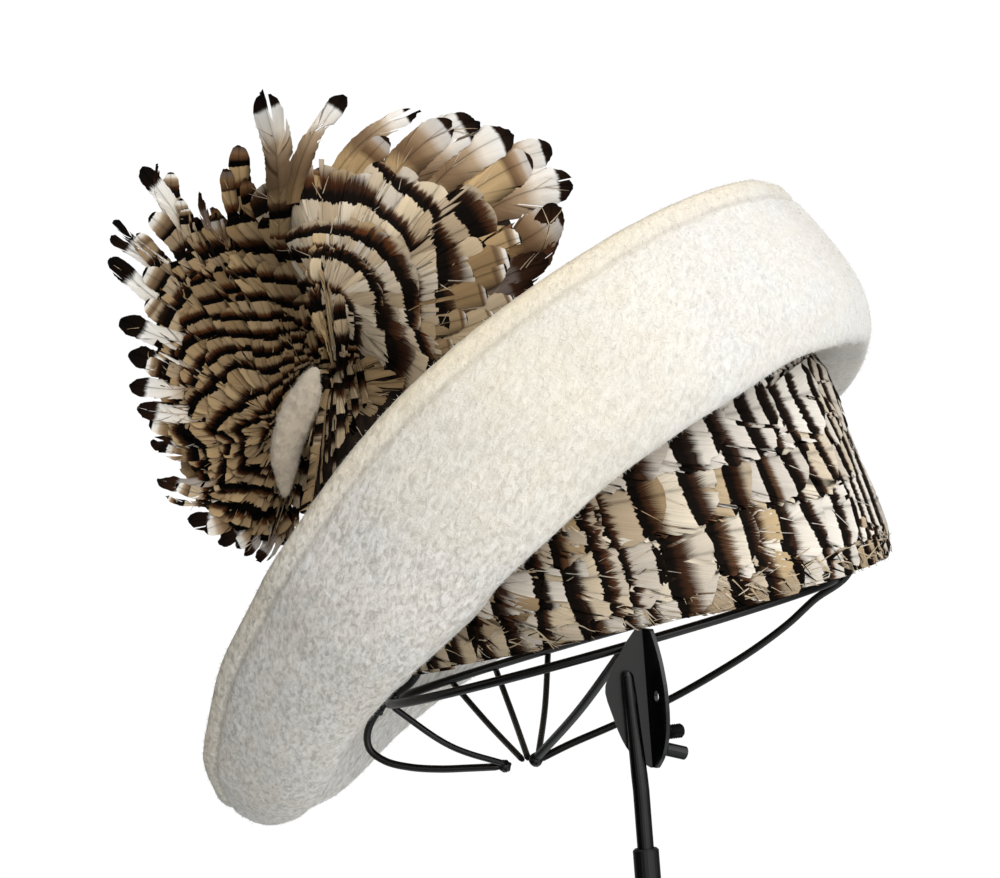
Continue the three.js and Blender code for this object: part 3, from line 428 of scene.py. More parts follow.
def nap_material(name, tone=None):
    m = Mat(name)
    a = m.split("fibre")
    n = m.noise(m.slant(m.obj_coords(), 62, 1.6, 0.8), 400, 3, 0.65, 0.6)
    col = m.ramp(n, [(0.34, srgb(191, 187, 181)), (0.5, srgb(234, 230, 223)), (0.66, srgb(255, 254, 252))])
    # painted light: the fibres' mottling evened out towards the brim's brightly lit back
    col = m.mix(painted_light_washout(m, m.obj_coords()) if tone is None else 0.6, col, srgb(225, 223, 219))
    if tone is None:
        # painted warm light: the fibres beside the fan tinted warm
        col = m.mix(painted_warm_light(m, m.obj_coords()), col, srgb(246, 238, 218))
    col = m.mix(0.35, col, m.ramp(a[0], [(0.0, srgb(205, 200, 192)), (0.5, srgb(232, 228, 221)), (1.0, srgb(250, 248, 244))]))
    # a given tone makes a darker, warmer copy of the fibres: painted shade
    if tone is not None:
        col = m.mix(1.0, col, tone, "MULTIPLY")
    m.put(m.b.inputs["Base Color"], col)
    m.b.inputs["Roughness"].default_value = 1.0
    m.b.inputs["Specular IOR Level"].default_value = 0.05
    m.b.inputs["Sheen Weight"].default_value = 0.2
    return m.m


def feather_material(name):
    """Bars by phase along the feather; barb streaks by the barb's own coordinate.
    fa = (phase, distance from tip in mm, barb coordinate in mm), fb = (random, across, paleness)."""
    m = Mat(name)
    ph, tip, barb = m.split("fa")[0], m.split("fa")[1], m.split("fa")[2]
    rnd, across, pale = m.split("fb")[0], m.split("fb")[1], m.split("fb")[2]
    # serration: fine along the barbs, and slower wander
    v1 = m.vec(m.math("MULTIPLY", barb, 2.3), m.math("MULTIPLY", rnd, 61.0), 0.0)
    fine = m.noise(v1, 1.0, 1.0, 0.5, 0.0, "2D")
    v2 = m.vec(m.math("MULTIPLY", barb, 0.33), m.math("MULTIPLY", rnd, 23.0), m.math("MULTIPLY", across, 1.3))
    slow = m.noise(v2, 1.0, 2.0, 0.5)
    off = m.math("ADD", m.math("MULTIPLY", m.math("SUBTRACT", fine, 0.5), 0.055), m.math("MULTIPLY", m.math("SUBTRACT", slow, 0.5), 0.10))
    p = m.math("ADD", ph, off)
    f = m.math("FRACT", p)
    k = m.math("FLOOR", p)
    # each bar has its own width and its own share of rust
    kn = m.noise(m.vec(m.math("MULTIPLY", k, 3.7), m.math("MULTIPLY", rnd, 17.0), 0.0), 1.0, 0.0, 0.5, 0.0, "2D")
    soft = m.math("MULTIPLY", m.math("SUBTRACT", fine, 0.5), 0.22)
    f2 = m.math("ADD", m.math("MULTIPLY", f, m.math("ADD", 0.80, m.math("MULTIPLY", kn, 0.4))), soft)
    # low paleness gives the deepest black and the dullest cream: the feathers' own darker tones, and painted shade on
    # the fan's fore half
    black, dark = m.mix(m.math("MULTIPLY", pale, 1.4, clamp=True), srgb(5, 4, 3), srgb(22, 18, 15)), srgb(24, 15, 10)
    rust = m.ramp(m.noise(m.vec(rnd, k, 0.0), 7.0, 0.0), [(0.35, srgb(44, 27, 18)), (0.5, srgb(72, 42, 25)), (0.65, srgb(104, 62, 35))])
    cream = m.ramp(m.noise(m.vec(m.math("MULTIPLY", rnd, 9.0), k, 3.0), 3.0, 1.0), [(0.3, srgb(146, 118, 84)), (0.5, srgb(196, 168, 126)), (0.7, srgb(164, 142, 114))])
    paler = m.ramp(m.noise(m.vec(m.math("MULTIPLY", rnd, 5.0), k, 8.0), 4.0, 1.0), [(0.3, srgb(208, 184, 144)), (0.5, srgb(238, 226, 204)), (0.62, srgb(228, 222, 212)), (0.75, srgb(196, 178, 150))])
    cream = m.mix(m.math("MULTIPLY", pale, 1.0, clamp=True), cream, paler)
    cream = m.mix(m.math("MULTIPLY", m.math("SUBTRACT", pale, 0.82), 1.9, clamp=True), cream, srgb(252, 250, 246))
    # black -> rust -> cream, paler towards the next black
    to_rust = m.ramp(f2, [(0.24, g1(0)), (0.40, g1(1))])
    to_cream = m.ramp(f2, [(0.44, g1(0)), (0.60, g1(1))])
    start = m.ramp(f, [(0.0, g1(1)), (0.012, g1(0)), (0.985, g1(0)), (0.997, g1(1))])
    cream = m.mix(1.0, cream, m.ramp(f, [(0.4, g1(0.8)), (0.95, g1(1.0))]), "MULTIPLY")
    rust = m.mix(m.math("MULTIPLY", m.math("SUBTRACT", pale, 0.5), 1.3, clamp=True), rust, m.ramp(m.noise(m.vec(rnd, k, 5.0), 7.0, 0.0), [(0.35, srgb(40, 30, 25)), (0.5, srgb(66, 46, 36)), (0.68, srgb(118, 88, 64))]))
    col = m.mix(to_rust, black, rust)
    col = m.mix(to_cream, col, cream)
    # tip zone: black end, white, taupe; brown all along on the warm ones
    tj = m.math("ADD", tip, m.math("MULTIPLY", m.math("SUBTRACT", fine, 0.5), 1.6))
    tn = m.math("DIVIDE", tj, 60.0)
    tipcol = m.ramp(tn, [(0.0, srgb(12, 10, 9)), (0.075, dark), (0.09, srgb(255, 254, 250)), (0.2, srgb(248, 240, 228)), (0.28, srgb(186, 164, 136)), (0.4, srgb(140, 116, 90)), (0.56, srgb(120, 98, 74))])
    brown = m.ramp(tn, [(0.0, dark), (0.1, srgb(70, 44, 28)), (0.3, srgb(128, 96, 66)), (0.5, srgb(96, 66, 42))])
    tipcol = m.mix(m.math("MULTIPLY", pale, -1.0, clamp=True), tipcol, brown)
    tmask = m.ramp(tn, [(0.0, g1(1)), (0.5, g1(1)), (0.62, g1(0))])
    col = m.mix(tmask, col, tipcol)
    # streaks along the barbs
    v3 = m.vec(m.math("MULTIPLY", barb, 4.2), m.math("MULTIPLY", rnd, 31.0), m.math("MULTIPLY", across, 0.7))
    st = m.noise(v3, 1.0, 2.0, 0.65)
    streak = m.ramp(st, [(0.26, g1(0.5)), (0.42, g1(0.86)), (0.6, g1(1.0))])
    lighter = m.ramp(tn, [(0.0, g1(0.3)), (0.3, g1(0.45)), (0.6, g1(1.0))])
    col = m.mix(lighter, col, m.mix(1.0, col, streak, "MULTIPLY"))
    tone = m.ramp(m.noise(m.vec(rnd, 0.0, 0.0), 57.0, 0.0), [(0.3, srgb(206, 198, 190)), (0.7, srgb(255, 252, 246))])
    col = m.mix(lighter, col, m.mix(1.0, col, tone, "MULTIPLY"))
    # darker near the shaft
    mid = m.ramp(m.math("ABSOLUTE", across), [(0.0, g1(0.6)), (0.07, g1(0.92)), (0.3, g1(1.0))])
    col = m.mix(1.0, col, mid, "MULTIPLY")
    # one edge lies in its neighbour's shade, most on the dark narrow feathers
    edge = m.ramp(m.math("ADD", m.math("MULTIPLY", across, 0.5), 0.5), [(0.0, g1(0.12)), (0.16, g1(0.62)), (0.36, g1(1.0))])
    shade = m.math("MULTIPLY", m.math("SUBTRACT", 0.9, m.math("MULTIPLY", pale, 1.3), clamp=True), lighter)
    col = m.mix(shade, col, m.mix(1.0, col, edge, "MULTIPLY"))
    m.put(m.b.inputs["Base Color"], col)
    m.b.inputs["Roughness"].default_value = 0.8
    m.b.inputs["Specular IOR Level"].default_value = 0.03
    m.bump(st, 0.4, 0.0004)
    return m.m


def shell_material(name, a, b):
    m = Mat(name)
    co = m.obj_coords()
    n = m.noise(m.stretch(co, 1, 1, 0.35), 260, 3, 0.6)
    m.put(m.b.inputs["Base Color"], m.ramp(n, [(0.35, a), (0.65, b)]))
    m.b.inputs["Roughness"].default_value = 0.9
    m.b.inputs["Specular IOR Level"].default_value = 0.1
    m.bump(n, 0.5, 0.001)
    return m.m


def paint_material(name, rough=0.24, dust=0.5):
    m = Mat(name)
    co = m.obj_coords()
    n = m.noise(co, 160, 4, 0.6)
    n2 = m.noise(co, 900, 2, 0.5)
    m.put(m.b.inputs["Base Color"], m.ramp(n, [(0.4, srgb(3, 3, 4)), (0.75, srgb(10, 10, 11))]))
    r = m.math("ADD", rough, m.math("MULTIPLY", n, 0.22 * dust))
    m.put(m.b.inputs["Roughness"], r)
    m.b.inputs["Specular IOR Level"].default_value = 0.3
    m.b.inputs["Coat Weight"].default_value = 0.2
    m.b.inputs["Coat Roughness"].default_value = 0.12
    m.bump(m.math("ADD", n, m.math("MULTIPLY", n2, 0.3)), 0.12, 0.0006)
    return m.m


felt_mat = felt_material("felt")
# the crescent's felt and fibres: a darker, warmer copy of the brim's, painted shade for the crescent lying in shade
crescent_shaded_mat = felt_material("crescent_felt_shaded", srgb(232, 221, 205))
nap_mat = nap_material("felt_fibres")
crescent_shaded_nap_mat = nap_material("crescent_fibres_shaded", srgb(232, 221, 205))
feather_mat = feather_material("barred_feather")
paint = paint_material("black_paint")
sleeve_paint = paint_material("sleeve_paint", 0.42, 0.3)
under_feathers = shell_material("under_feathers", srgb(16, 12, 10), srgb(44, 33, 25))
lining = shell_material("crown_inside", srgb(176, 160, 136), srgb(204, 192, 172))


# ------------------------------------------------------------------ felt brim
def crown_scale(v):
    return np.interp(v, CROWN_ROWS[:, 0], CROWN_ROWS[:, 1])


def centripetal(P, samples):
    """Centripetal Catmull-Rom through P (sections, points, 3), sampled evenly by length."""
    n = P.shape[1]
    ext = np.concatenate([2 * P[:, :1] - P[:, 1:2], P, 2 * P[:, -1:] - P[:, -2:-1]], 1)
    out = []
    per = 40
    for i in range(n - 1):
        p0, p1, p2, p3 = ext[:, i], ext[:, i + 1], ext[:, i + 2], ext[:, i + 3]
        d = lambda a, b: np.maximum(np.linalg.norm(a - b, axis=1) ** 0.5, 1e-4)[:, None]
        t0, t1, t2 = d(p0, p1), d(p1, p2), d(p2, p3)
        m1 = ((p1 - p0) / t0 - (p2 - p0) / (t0 + t1) + (p2 - p1) / t1) * t1
        m2 = ((p2 - p1) / t1 - (p3 - p1) / (t1 + t2) + (p3 - p2) / t2) * t1
        for k in range(per if i < n - 2 else per + 1):
            t = k / per
            out.append((2 * t ** 3 - 3 * t ** 2 + 1) * p1 + (t ** 3 - 2 * t ** 2 + t) * m1 + (-2 * t ** 3 + 3 * t ** 2) * p2 + (t ** 3 - t ** 2) * m2)
    D = np.stack(out, 1)
    L = np.concatenate([np.zeros((len(D), 1)), np.cumsum(np.linalg.norm(np.diff(D, axis=1), axis=2), 1)], 1)
    res = np.empty((len(D), samples, 3))
    for s in range(len(D)):
        q = np.linspace(0, L[s, -1], samples)
        for c in range(3):
            res[s, :, c] = np.interp(q, L[s], D[s, :, c])
    return res, L[:, -1]


def brim_controls(n):
    half = len(BRIM_ROWS) - 1
    t = np.arange(n) / n * 2 * half
    side = np.where(t <= half, 1.0, -1.0)
    q = np.where(t <= half, t, 2 * half - t)
    c = lambda name: column(BRIM_ROWS, BRIM_COLUMNS.index(name), q)
    turn = np.radians(c("turn"))
    drop = np.where(side < 0, c("drop"), 0.0)
    a_v = c("a_v") - drop
    s = crown_scale(a_v)
    reach = 1 + GAP / OPEN_WIDE
    A = np.stack([-OPEN_LONG * s * reach * np.cos(turn), -side * OPEN_WIDE * s * reach * np.sin(turn), a_v], 1)
    F = np.stack([c("f_u"), -side * c("f_w"), c("f_v") - drop], 1)
    R = np.stack([c("r_u"), -side * c("r_w"), c("r_v") - 0.85 * drop], 1)
    belly = c("belly")[:, None]
    run = unit(np.roll(F, -1, 0) - np.roll(F, 1, 0))
    rise = R - F
    out = unit(np.cross(rise, run))
    flip = (out * np.stack([F[:, 0] + 20, F[:, 1], np.full(n, -60.0)], 1)).sum(1) < 0
    out[flip] *= -1
    low = A + (F - A) * 0.62 + np.array([0, 0, -1.2])
    m1 = F + rise * 0.16 + out * belly * 0.74
    m2 = F + rise * 0.42 + out * belly
    m3 = F + rise * 0.74 + out * belly * 0.66
    return np.stack([A, low, F, m1, m2, m3, R], 1)


def brim_surface():
    n, m = 200, 96
    G, length = centripetal(brim_controls(n), m)
    du = np.roll(G, -1, 0) - np.roll(G, 1, 0)
    dv = np.gradient(G, axis=1)
    N = unit(np.cross(dv, du))
    if (N[0, m - 4] * np.array([-1, 0, -1])).sum() < 0:
        N = -N
    back = length[:, None] * (1 - np.linspace(0, 1, m))[None, :]
    return G, N, back, n, m


G, GN, BACK, BN, BM = brim_surface()


def build_brim():
    n, m = BN, BM
    ang = np.arange(n) / n * 2 * math.pi
    along = np.cumsum(np.linalg.norm(np.roll(G[:, -1], -1, 0) - G[:, -1], axis=1))[:, None]
    hem = np.maximum(0, 1 - (np.maximum(0, BACK - 1.5) / HEM_WIDTH) ** 2)
    thick = FELT + (HEM - FELT) * hem
    wave = waves(along, BACK, 5, 6, 70) * 0.55
    seam = np.exp(-(((BACK - 10.3 - 0.35 * waves(along, 0 * BACK, 8, 4, 25)) / 1.0) ** 2))
    pucker = waves(along, BACK, 11, 6, 9) * 0.16 * np.exp(-((BACK - 8) / 6) ** 2)
    outer = G + GN * ((thick - FELT) * 0.3 + wave - 0.75 * seam + pucker)[..., None]
    inner = G + GN * (-FELT - (thick - FELT) * 0.7 + wave + 0.5 * seam - pucker)[..., None]
    # rounded rim: faces stop short of the rim and a half circle joins them
    cut = 2.6
    tangent = unit(G[:, -1] - G[:, -4])
    keep = BACK > cut
    last = keep.sum(1).min()
    o_end, k_end = outer[:, last - 1], inner[:, last - 1]
    arc = []
    steps = 10
    mid = (o_end + k_end) / 2
    half = (o_end - k_end) / 2
    r = np.linalg.norm(half, axis=1, keepdims=True)
    for k in range(1, steps):
        a = math.pi * k / steps
        arc.append(mid + half * math.cos(a) + tangent * r * math.sin(a) * 0.95)
    # close the inner edge at the crown with a plain butt
    ring = [outer[:, j] for j in range(last)] + arc + [inner[:, j] for j in range(last - 1, -1, -1)]
    P = np.stack(ring, 1)
    k = P.shape[1]
    b = np.concatenate([BACK[:, :last], np.zeros((n, steps - 1)), BACK[:, :last][:, ::-1]], 1)
    s = np.concatenate([seam[:, :last], np.zeros((n, steps - 1)), seam[:, :last][:, ::-1]], 1)
    i = np.arange(n)[:, None]
    j = np.arange(k)[None, :]
    i2, j2 = (i + 1) % n, (j + 1) % k
    f = np.stack([i * k + j, i2 * k + j, i2 * k + j2, i * k + j2], -1).reshape(-1, 4)
    hemc = np.clip(1 - b / 13.0, 0, 1) ** 0.7
    attr = np.stack([hemc, s, b / 100], -1).reshape(-1, 3)
    W = hat_world(P).reshape(-1, 3)
    ob = make("felt_brim_skin", W, f, felt_mat, attrs={"hem": attr})
    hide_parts("felt_brim")
    return P, b


BRIM_P, BRIM_B = build_brim()


def fibres(name, P, N, T, count, length, width, seed, lean=0.55, spread=0.5, mat=None):
    """Short hairs as single thin triangles: P points, N normals, T the way the nap lies."""
    r = np.random.default_rng(seed)
    k = len(P)
    side = unit(np.cross(N, T))
    a = r.normal(0, spread, k)[:, None]
    d = unit(T * np.cos(a) + side * np.sin(a) + N * (lean * r.uniform(0.35, 1.5, k)[:, None]))
    L = (length * r.uniform(0.5, 1.3, k))[:, None]
    wv = unit(np.cross(d, N)) * (width * r.uniform(0.7, 1.3, k))[:, None]
    base = P - N * 0.15
    curl = unit(np.cross(N, d)) * (r.normal(0, 0.25, k)[:, None] * L)
    V = np.stack([base - wv, base + wv, base + d * L + curl * 0.5], 1).reshape(-1, 3)
    F = np.arange(3 * k).reshape(-1, 3)
    tone = np.repeat(np.clip(r.normal(0.55, 0.25, k), 0, 1), 3)
    return make(name, V, F, mat or nap_mat, attrs={"fibre": np.stack([tone, tone * 0, tone * 0], 1)})


def grid_sample(P, count, seed, wrap_j=False):
    """Even random points on a closed grid surface (i wraps round); returns points, normals, j-tangents, grid position."""
    r = np.random.default_rng(seed)
    n, k = P.shape[:2]
    A = np.roll(P, -1, 0)
    du = A - P
    dv = np.roll(P, -1, 1) - P
    area = np.linalg.norm(np.cross(du, dv), axis=2)
    if not wrap_j:
        area[:, -1] = 0
    cum = np.cumsum(area.ravel())
    idx = np.searchsorted(cum, r.uniform(0, cum[-1], count))
    i, j = np.divmod(idx, k)
    fu, fv = r.uniform(0, 1, (2, count))
    q = P[i, j] + du[i, j] * fu[:, None] + dv[i, j] * fv[:, None]
    return q, unit(np.cross(du, dv))[i, j], unit(dv)[i, j], i, j


def build_nap():
    q, nn, tt, i, j = grid_sample(BRIM_P, 121000, 21)
    W = hat_world(q)
    o = hat_world(np.zeros(3))
    Nw = hat_world(nn) - o
    Tw = hat_world(tt) - o
    # normals point out of the felt
    probe = BRIM_P.mean(1)
    half = BRIM_P.shape[1] // 2
    outer_side = (j < half)
    ref = hat_world(GN[i, np.minimum(j, BM - 1)]) - o
    sign = np.where((Nw * np.where(outer_side[:, None], ref, -ref)).sum(1) < 0, -1.0, 1.0)[:, None]
    mid = (j > half - 9) & (j < half + 9)
    Nw = np.where(mid[:, None], Nw * np.sign((Nw * Nw).sum(1))[:, None] * sign, Nw * sign)
    # the nap lies down towards the fold
    T = -Tw * np.where(outer_side, 1.0, -1.0)[:, None]
    fibres("felt_nap", W, Nw, T, len(q), 2.1, 0.115, 22, 0.5, 0.8)


# ------------------------------------------------------------------ feathers
class Pile:
    """Collects the vanes of many feathers into one mesh."""

    def __init__(s):
        s.v, s.f, s.a, s.b, s.n = [], [], [], [], 0

    def add(s, V, A, B, cut=None):
        """V (barbs, stations, 3): a sheet of neighbouring barbs; cut[k] is the station where barb k parts from barb k + 1."""
        K, S = V.shape[:2]
        k = np.arange(K - 1)[:, None]
        j = np.arange(S - 1)[None, :]
        f = s.n + np.stack([k * S + j, k * S + j + 1, (k + 1) * S + j + 1, (k + 1) * S + j], -1)
        keep = np.ones((K - 1, S - 1), bool) if cut is None else j < cut[:, None]
        s.v.append(V.reshape(-1, 3))
        s.a.append(A.reshape(-1, 3))
        s.b.append(B.reshape(-1, 3))
        s.f.append(f[keep])
        s.n += K * S

    def object(s, name):
        f = np.concatenate(s.f)
        ob = make(name, np.concatenate(s.v), f, feather_mat,
                  attrs={"fa": np.concatenate(s.a), "fb": np.concatenate(s.b)})
        print(name, "triangles", 2 * len(f))
        return ob


def stack3(*cols):
    return np.stack(np.broadcast_arrays(*cols), -1)


def feather(pile, surf, L, wide, phase, height, pitch=1.1, angle=46, tip_angle=16, tipped=False, pale=0.0, cap=5.0,
            end=1.1, base=0.4, splits=3, ragged=0.03, stations=5, whisk=2, taper=0.0, left=1.0, right=1.0, curl=0.0):
    """One feather. surf(a, b, h) places a point a along the shaft, b across it, h over the surface; phase(a, b) is the bar coordinate.
    end: length of the rounded end over the half width; base: share of the width at the start; cap: length of the dark end."""
    r = rng
    rnd = r.uniform(0, 1)
    barb0 = r.uniform(0, 400)
    e = min(end * wide / L, 0.6)
    for side, share in ((-1, left), (1, right)):
        if share <= 0:
            continue
        w_ = wide * share
        K = max(10, int(L / pitch))
        n_end = max(6, int(K * e * 1.3))
        x = np.concatenate([np.linspace(0, 1 - e, K - n_end, endpoint=False), 1 - e + e * np.sin(np.linspace(0, math.pi / 2, n_end))])
        f = (base + (1 - base) * smooth(x, 0, 0.35)) * (1 - taper * x)
        t_ = np.clip((x - (1 - e)) / e, 0, 1)
        w = w_ * f * np.sqrt(np.clip(1 - t_ ** 2, 0, 1)) * (1 + r.normal(0, ragged, K) * (t_ < 0.98))
        ang = np.radians(angle + (tip_angle - angle) * smooth(x, 0.55, 1.0))
        a_out = x * L + r.normal(0, ragged * 6, K) * (t_ < 0.98)
        a_root = np.clip(a_out - w / np.tan(ang), 0, L)
        a_root = np.maximum.accumulate(a_root)
        # splits in the vane
        cut = np.full(K - 1, stations - 1)
        shift = np.zeros(K)
        for _ in range(r.poisson(splits)):
            k = r.integers(2, K - 2)
            cut[k] = r.integers(0, 3)
            run = r.integers(4, 14)
            amount = r.uniform(0.5, 1.8) * r.choice([-1, 1])
            q = np.arange(K)
            m = (q > k) & (q <= k + run)
            shift[m] += amount * (1 - (q[m] - k - 1) / run)
        t = np.linspace(0, 1, stations)[None, :]
        bend = 0.35
        tb = t + bend * t * (1 - t)                     # leaves the shaft at a wider angle
        a = a_root[:, None] + (a_out - a_root)[:, None] * (t - bend * 0.6 * t * (1 - t)) + shift[:, None] * t ** 2
        b = side * w[:, None] * tb
        jit = r.normal(0, 0.05, K)[:, None] * t + np.abs(shift)[:, None] * 0.25 * t ** 2
        hh = height(a, b) + jit + curl * (t ** 2)
        V = surf(a, b, hh)
        A = stack3(phase(a, b), (L - a) * 5.0 / cap if tipped else 200.0, barb0 + a_root[:, None] + 0 * a)
        B = stack3(rnd + 0 * a, b / wide, pale)
        pile.add(V, A, B, cut)
    # shaft
    S = 12
    aS = np.linspace(0, L * 0.96, S)[:, None] * np.ones((1, 3))
    bS = np.array([-1, 0, 1])[None, :] * (0.36 * (1 - 0.75 * np.linspace(0, 1, S)))[:, None]
    hS = height(aS, bS * 0) + np.array([0.06, 0.42, 0.06])[None, :] * (1 - 0.6 * np.linspace(0, 1, S))[:, None]
    pile.add(surf(aS, bS, hS), stack3(phase(aS, bS), (L - aS) * 5.0 / cap if tipped else 200.0, barb0), stack3(rnd + 0 * aS, 0.0, pale))
    # loose barbs
    for _ in range(r.poisson(whisk)):
        s0 = r.uniform(0.2, 0.85) * L
        side = r.choice([-1, 1])
        an = rad(r.uniform(12, 50))
        ln = wide * r.uniform(0.8, 1.5)
        t = np.linspace(0, 1, 6)[:, None]
        cv = r.normal(0, 0.35)
        a = s0 + ln * (math.cos(an) * t + cv * 0.4 * t * t)
        b = side * ln * (math.sin(an) * t + 0.25 * cv * t * t)
        wd = np.array([-1, 1])[None, :] * 0.2 * (1 - 0.75 * t)
        aa, bb = a + wd * math.sin(an), b - side * wd * math.cos(an)
        hh = height(aa, bb) + 0.2 + r.uniform(0.2, 2.0) * t * t
        pile.add(surf(aa, bb, hh), stack3(np.floor(phase(aa, bb)) + 0.7, 200.0, barb0 + s0), stack3(rnd + 0 * aa, bb / wide, max(pale, 0.5)))


# ------------------------------------------------------------------ crown
_v = np.linspace(0, 1, 400)
_prof_v = np.interp(_v, np.linspace(0, 1, len(CROWN_ROWS)), CROWN_ROWS[:, 0])
_prof_s = np.interp(_v, np.linspace(0, 1, len(CROWN_ROWS)), CROWN_ROWS[:, 1])
_prof_q = np.concatenate([[0], np.cumsum(np.hypot(np.diff(_prof_v), np.diff(_prof_s) * 96))])
_th = np.linspace(-math.pi, 3 * math.pi, 4001)
_el = np.concatenate([[0], np.cumsum(np.hypot(OPEN_LONG * np.diff(np.cos(_th)), OPEN_WIDE * np.diff(np.sin(_th))))])
_el -= np.interp(0, _th, _el)
PERIMETER = np.interp(2 * math.pi, _th, _el)


def crown_point(arc, q, h):
    """arc: millimetres round the opening from the front, along the wearer's left; q: millimetres up the profile."""
    arc = np.mod(arc + PERIMETER / 2, PERIMETER) - PERIMETER / 2
    th = np.interp(arc, _el, _th)

    def at(th, q):
        v = np.interp(q, _prof_q, _prof_v)
        s = np.interp(q, _prof_q, _prof_s)
        v = v + np.minimum(q, 0)
        return np.stack([-OPEN_LONG * s * np.cos(th), -OPEN_WIDE * s * np.sin(th), v], -1)
    p = at(th, q)
    d1 = at(th + 0.01, q) - at(th - 0.01, q)
    d2 = at(th, np.maximum(q, 0.6) + 0.5) - at(th, np.maximum(q, 0.6) - 0.5)
    n = unit(np.cross(d1, d2))
    out = p - np.array([0, 0, 40.0])
    n = np.where((n * out).sum(-1, keepdims=True) < 0, -n, n)
    return hat_world(p + n * np.asarray(h)[..., None])


BAR_ARC = np.array(CROWN_BARS, float)
BAR_NO = np.arange(len(BAR_ARC), dtype=float)


def crown_phase(arc, q):
    """Dark bars lean: they lie further forward higher up."""
    x = np.mod(arc + 0.22 * (q - 20) + 10, PERIMETER) - 10
    y = np.interp(x, BAR_ARC, BAR_NO)
    far = x > BAR_ARC[-1]
    return np.where(far, BAR_NO[-1] + (x - BAR_ARC[-1]) / 13.7, y)


SIDE_EDGES = np.array([np.array(v_, float) + d_ for v_, bl, ru in SIDE_BARS for d_ in (0, bl, bl + ru)])


def side_phase(arc, q, shift):
    """Bar coordinate on the crown's seen side, from the table read in the picture."""
    d = crown_point(arc, q, 1.2 + 0 * arc) - FP
    x, y, z = (d * FX).sum(-1), (d * FY).sum(-1), (d * FZ).sum(-1)
    k = 3840 / (1569.3 - z)
    px, py = 500 + k * (x - 69.4) - SIDE_ORIGIN[0], 439 - k * (y + 24.2) - SIDE_ORIGIN[1]
    u = px * SIDE_RUN[0] + py * SIDE_RUN[1] + shift
    v = px * SIDE_RUN[1] - py * SIDE_RUN[0]
    t = np.interp(v, SIDE_HEIGHTS, np.arange(len(SIDE_HEIGHTS)))
    i = np.clip(np.floor(t).astype(int), 0, len(SIDE_HEIGHTS) - 2)
    f = t - i
    e = SIDE_EDGES[:, i] * (1 - f) + SIDE_EDGES[:, i + 1] * f
    out = 0.75 + 0 * u
    steps = [0.0, 0.36, 0.56]
    for k in range(len(e) - 1):
        p0, p1 = k // 3 + 1 + steps[k % 3], (k + 1) // 3 + 1 + steps[(k + 1) % 3]
        out = np.where(u >= e[k], p0 + (p1 - p0) * np.clip((u - e[k]) / np.maximum(e[k + 1] - e[k], 0.05), 0, 1), out)
    return out


